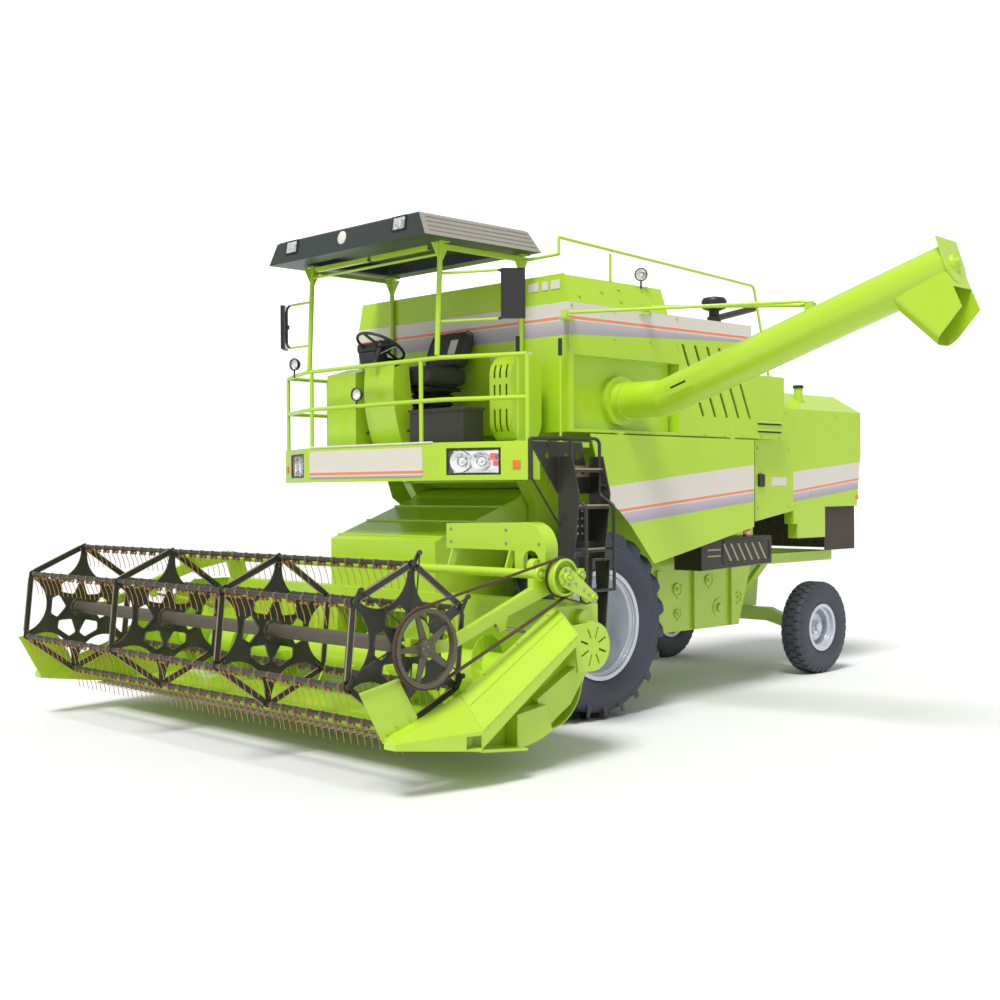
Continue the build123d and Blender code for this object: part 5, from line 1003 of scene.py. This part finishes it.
# operator's controls: binnacle, knobbed levers, stalk and pedals
controlSizes = {"levers": ((0.845, -0.50, 2.985), (0.880, -0.585, 2.960), (0.900, -0.66, 2.985),
                           (0.845, -0.72, 2.945)), "leverFoot": 2.855,
                "stalk": ((1.215, -0.03, 2.93), (1.20, 0.09, 2.965), (1.195, 0.14, 2.975)),
                "pedals": (-0.32, 0.20), "dials": (-0.27, -0.21, -0.15),
                "knob": ((0, -0.020), (0.012, -0.014), (0.017, 0.0), (0.013, 0.014), (0.0, 0.020))}


def makeControls():
    c = controlSizes
    dark = [roundedBlock((1.060, -0.345, 2.950), (1.205, -0.075, 3.035), 0.03, 1),
            roundedBlock((1.035, -0.325, 3.000), (1.090, -0.095, 3.052), 0.015, 1)]
    rods = [tube([(x, y, c["leverFoot"]), (x + 0.015, y, top)], 0.006) for x, y, top in c["levers"]]
    knobs = [lathe(c["knob"], (x + 0.016, y, top + 0.012), "z", 16) for x, y, top in c["levers"]]
    rods.append(tube(c["stalk"], 0.005))
    for y in c["pedals"]:
        rods.append(tube([(1.00, y, 2.20), (1.055, y, 2.33)], 0.010))
        pedal = roundedBlock((1.03, y - 0.045, 2.325), (1.115, y + 0.045, 2.337), 0.012)
        dark.append(turned(pedal, "Y", 32, (1.06, y, 2.33)))
    makePiece("controlRods", merged(*rods), steel, "chassis")
    makePiece("controlKnobs", merged(*dark, *knobs), plastic, "chassis", bevel=0.003)
    dial = lathe([(0, 0.004), (0.024, 0.004), (0.028, 0.0)], axis="x", sides=24)
    makePiece("dials", merged(*[aimed(dial, (-0.5, 0, 1), (1.0545, y, 3.050)) for y in c["dials"]]), pale,
              "chassis")


makeControls()
print("lamps, mirrors and controls made")


# plates, reflectors, bolts and louvres
# runs of bolt heads along the folded edges of the upper body, the hood and the lower body
boltRows = (((0.40, -0.10, -0.55, -0.90), 1.301, (3.26, 3.035)),
            (np.arange(-2.40, -1.0, 0.28), 1.301, (2.30,)), ((-2.82, -3.25, -3.70, -4.15, -4.58), 0.801,
        (2.58, 1.78)), ((-2.20, -2.70), 1.2005, (2.20, 1.66)))
smallSizes = {"labels": ((0.860, 0.975), (1.010, 1.080), (1.105, 1.205)), "louvres": (2.335, 2.405),
              "boltSize": 0.008, "boardBolts": ((0.30, 3.34), (0.02, 3.40), (-0.20, 3.44), (-0.20, 3.34),
                                                (-0.62, 3.34)), "boardLean": 0.28}


def smallTrim():
    t = smallSizes
    labels = [roundedBlock((0.4295, y0, 3.395), (0.4315, y1, 3.465), 0.004, 0) for y0, y1 in t["labels"]]
    labels += [roundedBlock((-2.660, 1.1995, 1.855), (-2.420, 1.2012, 1.935), 0.006, 1),
               roundedBlock((0.4295, 0.42, 2.885), (0.4312, 0.90, 2.925), 0.004, 0)]
    makePiece("labels", merged(*labels), pale, "chassis")
    dark = [roundedBlock((-2.285, 1.199, 1.845), (-2.200, 1.222, 1.965), 0.02, 1),
            lathe([(0, 0.035), (0.052, 0.030), (0.056, 0.0), (0.0, 0.0)], (-3.750, 0.620, 2.851), "z", 24)]
    # the louvres' slots are dark strips on the face: painted shade in place of openings
    dark += [roundedBlock((-2.430, 1.2995, z), (-2.060, 1.3025, z + 0.020), 0.009, 1) for z in t["louvres"]]
    makePiece("darkTrim", merged(*dark), plastic, "chassis", bevel=0.002)
    lips = [tube([(-2.440, 1.306, z + 0.024), (-2.050, 1.306, z + 0.024)], 0.010, 8) for z in t["louvres"]]
    makePiece("louvreLips", bothSides(merged(*lips)), green, "chassis")
    lamp = bothSides(roundedBlock((-4.6715, 0.600, 1.860), (-4.6490, 0.740, 1.920), 0.012, 0))
    makePiece("tailLamps", lamp, red, "chassis", bevel=0.003)
    reflector = lathe([(0, 0.006), (0.026, 0.005), (0.030, 0.0)], (-4.569, 0.801, 1.734), "y", 24)
    makePiece("hoodReflectors", bothSides(reflector), orange, "chassis")
    heads = [bolt((x, y, z), "y", t["boltSize"]) for along, y, heights in boltRows for x in along
             for z in heights]
    makePiece("bodyBolts", bothSides(merged(*heads)), green, "chassis")
    lean = t["boardLean"]
    cluster = [aimed(bolt((0, 0, 0), "x", 0.010), (0, 1, lean), (x, 1.280 - (z - 3.367) * lean, z))
               for x, z in t["boardBolts"]]
    makePiece("boardBolts", merged(*cluster), green, "chassis")


smallTrim()


# vent box: six slanted slots, two level ones and a small tank on its lid
ventSizes = {"slots": np.linspace(-1.66, -2.19, 6), "half": 0.014, "lean": -0.055, "low": 1.190,
             "high": 1.345, "level": (1.235, 1.290), "frame": ((-1.60, 1.170), (-1.60, 1.372), (-2.30, 1.372),
        (-2.30, 1.180), (-1.60, 1.170)), "canister": (-1.990, 1.222)}


def ventBox():
    v = ventSizes
    # a slot's ends lie one lean to either side of its middle
    corners = ((-1, 1, "low"), (1, 1, "low"), (1, -1, "high"), (-1, -1, "high"))
    slots = [plate([(x + side * v["half"] + way * v["lean"], v[end]) for side, way, end in corners], 1.2495,
                   1.2535, 1) for x in v["slots"]]
    slots += [roundedBlock((-1.56, 1.2495, z), (-1.37, 1.2530, z + 0.014), 0.006, 1) for z in v["level"]]
    makePiece("ventSlots", bothSides(merged(*slots)), tan, "chassis")
    rim = tube([(x, 1.252, z) for x, z in v["frame"]], 0.006, 6, (0, 1, 0))
    makePiece("ventFrames", bothSides(rim), black, "chassis")
    ends = [lathe([(0, 0), (0.032, 0), (0.032, tall), (0.0, tall)], (*v["canister"], foot), "z", 20)
            for foot, tall in ((1.4005, 0.020), (1.448, 0.030))]
    makePiece("canisterEnds", merged(*ends), red, "chassis", bevel=0.003)
    middle = lathe([(0, 0), (0.030, 0), (0.030, 0.028), (0.0, 0.028)], (*v["canister"], 1.4205), "z", 20)
    makePiece("canister", middle, pale, "chassis")


ventBox()


# ladder: tread edges in pale tan as painted highlight, a plate with dark discs as painted shade in its holes,
# and the dotted riser
# each tread's height and how far out its edge lies
ladderSizes = {"treads": ((1.985, 1.640), (1.715, 1.7018), (1.390, 1.666)),
               "rungs": ((1.305, 1.650), (1.070, 1.628), (0.770, 1.602)), "holes": (0.520, 0.606, 0.692),
               "dots": (6, 4)}


def ladderTrim():
    t = ladderSizes
    # pale tan strips on the front edges of treads and rungs: painted highlight
    edges = [roundedBlock((0.437, reach - 0.010, z - 0.006), (0.773, reach + 0.0025, z + 0.0065), 0.0, 0)
             for z, reach in t["treads"]]
    edges += [roundedBlock((0.450, 1.507, 1.925), (0.762, 1.513, 2.012), 0.006, 1)]
    edges += [roundedBlock((0.374, reach - 0.006, z + 0.0075), (0.558, reach + 0.002, z + 0.010), 0.0, 0)
              for z, reach in t["rungs"]]
    makePiece("treadEdges", merged(*edges), tan, "chassis")
    # dark discs on the plate in place of holes: painted shade
    holes = [lathe([(0, 0.0015), (0.021, 0.0015), (0.021, 0.0)], (x, 1.513, 1.968), "y", 16)
             for x in t["holes"]]
    makePiece("treadHoles", merged(*holes), paintedHoleShade, "chassis")
    makePiece("riser", roundedBlock((0.442, 1.5085, 1.440), (0.768, 1.5145, 1.700), 0.0, 1), black, "chassis")
    x, z = np.meshgrid(np.linspace(0.48, 0.73, t["dots"][0]), np.linspace(1.50, 1.67, t["dots"][1]),
                       indexing="ij")
    dot = lathe([(0, 0.002), (0.009, 0.001), (0.010, 0.0)], axis="y", sides=8)
    spots = np.stack([x.ravel(), np.full(x.size, 1.5145), z.ravel()], 1)
    makePiece("riserDots", repeated(dot, spots), silver, "chassis")


ladderTrim()


# unloading auger: slotted hatch past the elbow, ring bolts and the bearing on the end plate
augerTube = {"elbow": (-0.240, 1.700, 2.545), "end": (-0.333, 4.060, 3.320), "radius": 0.145}


def augerTrim():
    a = augerTube
    start, end = np.array(a["elbow"]), np.array(a["end"])
    along = (end - start) / np.linalg.norm(end - start)
    out = np.cross(along, (0, 0, 1))
    out /= np.linalg.norm(out)
    rise = np.cross(out, along)
    share, angle = np.meshgrid(np.linspace(0.13, 0.36, 6), np.radians(np.linspace(-18, 18, 9)), indexing="ij")

    def patch(share, angle, radius):
        return start + along * share[..., None] + radius * (out * np.cos(angle)[...,
                None] + rise * np.sin(angle)[..., None])

    lid = patch(share, angle, a["radius"] + 0.004)
    low = patch(share, angle, a["radius"] - 0.004)
    ring = lambda g: np.concatenate([g[0, :], g[1:, -1], g[-1, -2::-1], g[-2:0:-1, 0]])
    wall = surface(np.stack([ring(lid), ring(low)]), closeColumns=True)
    makePiece("augerHatch", merged(surface(lid), wall), green, "unloading_auger", sharp=50)
    # the hatch's slot is a dark patch laid on the lid: painted shade
    share, angle = np.meshgrid(np.linspace(0.17, 0.32, 4), np.radians(np.linspace(1, 7, 4)), indexing="ij")
    makePiece("augerSlot", surface(patch(share, angle, a["radius"] + 0.0052)), paintedHoleShade, "unloading_auger",
              closed=False)
    heads = boltCircle((-0.240, 1.232, 2.545), 0.178, 12, "y", 0.010, 15)
    for turn in np.radians(np.arange(8) * 45):
        at = end + 0.118 * (out * math.cos(turn) + rise * math.sin(turn)) + along * 0.001
        heads.append(aimed(bolt((0, 0, 0), "x", 0.009), along, at, (1, 0, 0.2)))
    bearing = lathe([(0.0, 0.052), (0.022, 0.052), (0.026, 0.030), (0.050, 0.026), (0.062, 0.010),
                     (0.062, 0.0)], axis="x", sides=24)
    heads.append(aimed(bearing, along, end, (1, 0, 0.2)))
    makePiece("augerBolts", merged(*heads), green, "unloading_auger")


augerTrim()
print("trim made")


# reel drive and arms: stepped rings on the pulleys, bosses and bolts; then the stars' bars and bolts
driveSizes = {
    "pulley": (1.560, 1.252),
    "rings": ((0.113, 2.294), (0.086, 2.2672), (0.070, 2.2672), (0.044, 2.301), (0.030, 2.301)),
    "bosses": (((1.700, 2.1905, 1.275), 0.050), ((1.300, 2.1905, 1.250), 0.042),
               ((1.300, 2.3125, 1.105), 0.026), ((1.560, 2.3125, 1.252), 0.036)),
    # a boss in shares of its radius and its distances outward
    "boss": ((0, 0.026), (0.35, 0.026), (0.40, 0.012), (0.62, 0.012), (0.66, 0.018), (0.9, 0.018),
             (1, 0.010), (1, 0.0)),
    "guardBolts": ((1.475, 1.205), (1.395, 1.160), (1.350, 1.125)),
    "armBolts": ((1.385, 1.265), (1.385, 1.195), (1.530, 1.215), (2.440, 0.895), (2.640, 0.895),
                 (2.700, 0.925), (2.700, 0.850)),
    "plateBolts": ((1.24, 1.47), (1.24, 1.56), (1.80, 1.47), (1.80, 1.56), (2.11, 1.47), (2.11, 1.36)),
    "hub": ((0, 0.046), (0.020, 0.046), (0.024, 0.036), (0.046, 0.032), (0.052, 0.030)),
}
# the left star has its bolts on the inner face, clear of the cranks
starSizes = {"boltFaces": (-1, -1, 1, -1), "boltsAt": (0.460, 0.436), "barAt": 0.530, "aside": 0.0075,
             "short": 0.052, "bar": ((-0.0035, 0.0), (0.0035, 0.0), (0.0035, 0.044), (-0.0035, 0.044)),
             "lips": (0.002, 0.043), "lip": 0.0045}


def driveTrim():
    d = driveSizes
    x, z = d["pulley"]
    rings = [lathe([(r - 0.006, y), (r - 0.003, y + 0.007), (r + 0.003, y + 0.007), (r + 0.006, y)],
                   (x, 0, z), "y", 36) for r, y in d["rings"]]
    rings += [lathe([(share * r, out) for share, out in d["boss"]], at, "y", 28) for at, r in d["bosses"]]
    makePiece("driveRings", merged(*rings), green, "reel_arms")
    heads = boltCircle((x, 2.3125, z), 0.053, 6, "y", 0.008, 10)
    heads += [bolt((x, 2.3125, z), "y", 0.008) for x, z in d["guardBolts"]]
    heads += [bolt((x, 2.1905, z), "y", 0.009) for x, z in d["armBolts"]]
    heads += [bolt((1.6205, y, z), "x", 0.008) for y, z in d["plateBolts"]]
    makePiece("driveBolts", merged(*heads), steel, "reel_arms")
    hub = lathe(d["hub"], onReel(0, 0, 2.270), "y", 24)
    makePiece("reelHub", merged(hub, *boltCircle(onReel(0, 0, 2.3005), 0.038, 6, "y", 0.006)), bronze, "reel")


def starTrim():
    # flanged bars round the stars: each runs from near one tip to near the next, just inside the outline
    t = starSizes
    bats = range(reel["bats"])
    clips, bars, lips = [], [], []
    for y, face in zip(reel["stars"], t["boltFaces"]):
        clips += [bolt(onReel(k, r, y + 0.008 * face), "y", 0.006, face) for k in bats for r in t["boltsAt"]]
        y += math.copysign(t["aside"], y)
        for k in bats:
            first, last = onReel(k, t["barAt"], y), onReel(k + 1, t["barAt"], y)
            along = (last - first) / np.linalg.norm(last - first)
            inward = onReel(0, 0, y) - (first + last) / 2
            inward /= np.linalg.norm(inward)
            path = np.array((first + along * t["short"], last - along * t["short"]))
            bars.append(swept(t["bar"], path, inward))
            # tan tubes along each bar's edges stand for bright rims on the black stars: painted highlight
            lips += [tube(path + inward * depth, t["lip"], 6, (0, 1, 0)) for depth in t["lips"]]
    makePiece("starBolts", merged(*clips), bronze, "reel")
    makePiece("starBars", merged(*bars), black, "reel")
    makePiece("starLipHighlights", merged(*lips), tan, "reel", slotName="dark_steel")


driveTrim()
starTrim()


# header: folded edges and screws on the end covers, the round guard's dark back, ribs on the lid and back
# the end cover's outline at its rear and front edges as y and z; it runs straight from one to the other
cover = {"rear": 1.580, "length": 0.870, "rearEdge": ((2.213, 1.055), (2.303, 1.000), (2.423, 0.885),
                                                      (2.423, 0.820)), "frontEdge": ((2.213, 0.560),
        (2.303, 0.500), (2.423, 0.365), (2.423, 0.255)), "bolts": (1.66, 1.95, 2.24, 2.40)}
headerSizes = {"guardBolts": ((1.22, 0.78), (1.47, 0.88), (1.47, 0.66)),
               "noseBolts": ((2.86, 0.47), (2.96, 0.44), (3.03, 0.40)), "lidRibs": (0.55, 0.86, 1.17),
               "ribs": (-1.9, -1.3, -0.8, 0.8, 1.3, 1.9)}


def onCover(x, share, lift=0.0):
    # a point of the cover; share counts along the outline's three folds
    rear, front = np.array(cover["rearEdge"]), np.array(cover["frontEdge"])
    section = rear + (front - rear) * (x - cover["rear"]) / cover["length"]
    fold = min(int(share), 2)
    y, z = section[fold] + (section[fold + 1] - section[fold]) * (share - fold)
    return np.array((x, y + lift, z + lift))


def headerTrim():
    h = headerSizes
    seams = [tube([onCover(x, fold, lift) for x in np.linspace(1.585, 2.445, 3)], 0.0035, 6)
             for fold, lift in ((1.0, 0.001), (2.0, 0.0))]
    seams += [tube([onCover(x, share, 0.001) for share in np.arange(0.0, 3.5, 0.5)], size, 6, (1, 0, 0.2))
              for x, size in ((2.446, 0.004), (1.586, 0.005))]
    makePiece("coverSeams", bothSides(merged(*seams)), green, "header")
    head = bolt((0, 0, 0), "x", 0.005)
    heads = [aimed(head, (0.4, 0.6, 0.7), onCover(x, share, 0.0005)) for share in (0.12, 2.0)
             for x in cover["bolts"]]
    heads += [bolt((x, 2.342, z), "y", 0.008) for x, z in h["guardBolts"]]
    heads += [bolt((x, 2.2175, z), "y", 0.008) for x, z in h["noseBolts"]]
    makePiece("coverBolts", bothSides(merged(*heads)), green, "header")
    dark = lathe([(0.050, 0.0), (0.134, 0.0), (0.134, 0.0015), (0.050, 0.0015)], (1.345, 2.3305, 0.780), "y",
                 32)
    makePiece("guardDark", dark, black, "header")
    # flanges across the feeder's sloping lid, which falls 400 mm over its length of 1100 mm
    lid = {x: 1.840 - 0.400 * (x - 0.150) / 1.100 for x in h["lidRibs"]}
    strips = [roundedBlock((x - 0.012, -0.655, z - 0.004), (x + 0.012, 0.655, z + 0.012), 0.0, 1)
              for x, z in lid.items()]
    strips += [roundedBlock((1.150, y - 0.6, 0.93), (1.158, y + 0.6, 0.945), 0.0, 1) for y in (-1.45, 1.45)]
    strips += [roundedBlock((1.146, y - 0.012, 0.70), (1.154, y + 0.012, 0.94), 0.0, 1) for y in h["ribs"]]
    makePiece("headerRibs", merged(*strips), green, "header", bevel=0.002)


headerTrim()


# threshing body: covers, bearings and hand holes low on both sides
# covers as middle along x and z with a radius, hand holes as both limits along x and z
bodySizes = {"side": 0.7505, "covers": ((-1.05, 0.80, 0.075), (-1.58, 0.92, 0.060), (-1.58, 0.70, 0.045),
                                        (-2.05, 0.98, 0.055), (-2.50, 0.80, 0.05)),
             "cover": ((0, 0.020), (0.3, 0.020), (0.34, 0.008), (0.8, 0.008), (0.84, 0.014), (1, 0.012),
                       (1, 0.0)), "hatches": ((-0.98, -0.72, 1.25, 1.75), (-1.75, -1.36, 1.36, 1.60),
                                              (-2.72, -2.48, 1.30, 1.75)), "lids": (-1.05, -0.20)}


def bodyTrim():
    b = bodySizes
    rings = []
    for x, z, r in b["covers"]:
        rings.append(lathe([(share * r, y) for share, y in b["cover"]], (x, b["side"], z), "y", 24))
        rings += boltCircle((x, b["side"], z), r * 1.25, 3, "y", 0.007, 30)
    rings += [roundedBlock((x0, 0.7495, z0), (x1, 0.7560, z1), 0.015, 1) for x0, x1, z0, z1 in b["hatches"]]
    rings += [tube([(-0.62, 0.758, 1.30), (-0.62, 0.758, 1.90), (0.10, 0.758, 1.90)], 0.012, 8, (0, 1, 0))]
    makePiece("bodyCovers", bothSides(merged(*rings)), green, "chassis")
    rear = [roundedBlock((-4.6560, -0.60, 2.24), (-4.6495, 0.60, 2.52), 0.02, 0)]
    rear += [bolt((-4.6560, y, z), "x", 0.009, -1) for y in (-0.56, -0.19, 0.19, 0.56)
             for z in (2.265, 2.495)]
    rear += [tube([(-4.652, -0.08, 2.38), (-4.690, -0.08, 2.38), (-4.690, 0.08, 2.38), (-4.652, 0.08, 2.38)],
                  0.007, 8)]
    rear += [roundedBlock((-2.4890, -1.05 + k * 0.72, 2.34), (-2.4795, -0.45 + k * 0.72, 2.78), 0.03, 0)
             for k in range(3)]
    makePiece("rearCovers", merged(*rear), green, "chassis")
    # engine roof: two lids with handles and a row of slots on each
    roof = [roundedBlock((-1.62, y, 3.2855), (-1.02, y + 0.72, 3.298), 0.03) for y in b["lids"]]
    handle = ((0.30, 3.297), (0.30, 3.325), (0.42, 3.325), (0.42, 3.297))
    roof += [tube([(-1.60, y + off, z) for off, z in handle], 0.006, 8, (1, 0, 0)) for y in b["lids"]]
    makePiece("roofLids", merged(*roof), green, "chassis")
    # the slots are dark strips on the lids: painted shade in place of openings
    slots = [roundedBlock((x, y + 0.12, 3.298), (x + 0.018, y + 0.60, 3.2995), 0.008)
             for y in b["lids"] for x in np.arange(-1.50, -1.08, 0.05)]
    makePiece("roofSlots", merged(*slots), paintedHoleShade, "chassis")


bodyTrim()


# platform floor: raised tread pattern in rows that lean both ways
# the floor's limits along x and y, and the places that other things stand on
treadSizes = {"x": (0.50, 1.06), "y": (-0.36, 1.40), "pitch": 0.062, "height": 2.1903, "lean": 45,
         "taken": ((0.56, 0.92, -0.12, 0.22), (0.90, 9.0, 0.21, 0.90), (0.5, 0.9, 0.84, 1.12))}


def floorTread():
    t = treadSizes
    x, y = np.meshgrid(np.arange(*t["x"], t["pitch"]), np.arange(*t["y"], t["pitch"]), indexing="ij")
    row, column = np.indices(x.shape)
    keep = np.ones(x.shape, bool)
    for x0, x1, y0, y1 in t["taken"]:
        keep &= ~((x > x0) & (x < x1) & (y > y0) & (y < y1))
    spots = np.stack([x, y + row % 2 * t["pitch"] / 2, np.full_like(x, t["height"])], -1)
    odd = (row + column) % 2 == 1
    bar = lathe([(0.0, -0.002), (0.0075, 0.0), (0.004, 0.0022), (0.0, 0.0026)], axis="z", sides=8)
    made = [repeated(turned((bar[0] * (0.6, 2.3, 1.0), bar[1]), "Z", lean), spots[keep & mask])
            for lean, mask in ((t["lean"], odd), (-t["lean"], ~odd))]
    makePiece("floorTread", merged(*made), green, "chassis")


floorTread()
print("drive, header and body trim made")


def makeStage():
    size = 60.0
    floor = bpy.data.meshes.new("floor")
    floor.from_pydata([(-size, -size, 0), (size, -size, 0), (size, size, 0), (-size, size, 0)], [],
                      [(0, 1, 2, 3)])
    stage = bpy.data.objects.new("floor", floor)
    bpy.context.collection.objects.link(stage)
    paint = bpy.data.materials.new("floorPaint")
    paint.use_nodes = True
    paint.node_tree.nodes["Principled BSDF"].inputs["Base Color"].default_value = (0.8, 0.8, 0.8, 1)
    paint.node_tree.nodes["Principled BSDF"].inputs["Roughness"].default_value = 0.9
    floor.materials.append(paint)
    world = bpy.data.worlds.new("studio")
    bpy.context.scene.world = world
    world.use_nodes = True
    tree = world.node_tree
    # the light stays soft and even, and what the lens or a clear piece looks at is plain white
    rays = addNode(tree, "LightPath").outputs
    seen = maths(tree, "MAXIMUM", rays["Is Camera Ray"], rays["Is Transmission Ray"])
    level = maths(tree, "MULTIPLY_ADD", seen, 0.8, 0.58)
    tree.nodes["Background"].inputs["Color"].default_value = (1, 1, 1, 1)
    tree.links.new(level, tree.nodes["Background"].inputs["Strength"])
    sun = bpy.data.lights.new("key", "SUN")
    sun.energy = 2.9
    sun.angle = math.radians(20)
    lamp = bpy.data.objects.new("key", sun)
    lamp.rotation_euler = Vector((0.55, 0.25, 1.0)).to_track_quat("Z", "Y").to_euler()
    bpy.context.collection.objects.link(lamp)


makeStage()
bpy.context.scene.view_settings.view_transform = "Standard"
print("stage set")
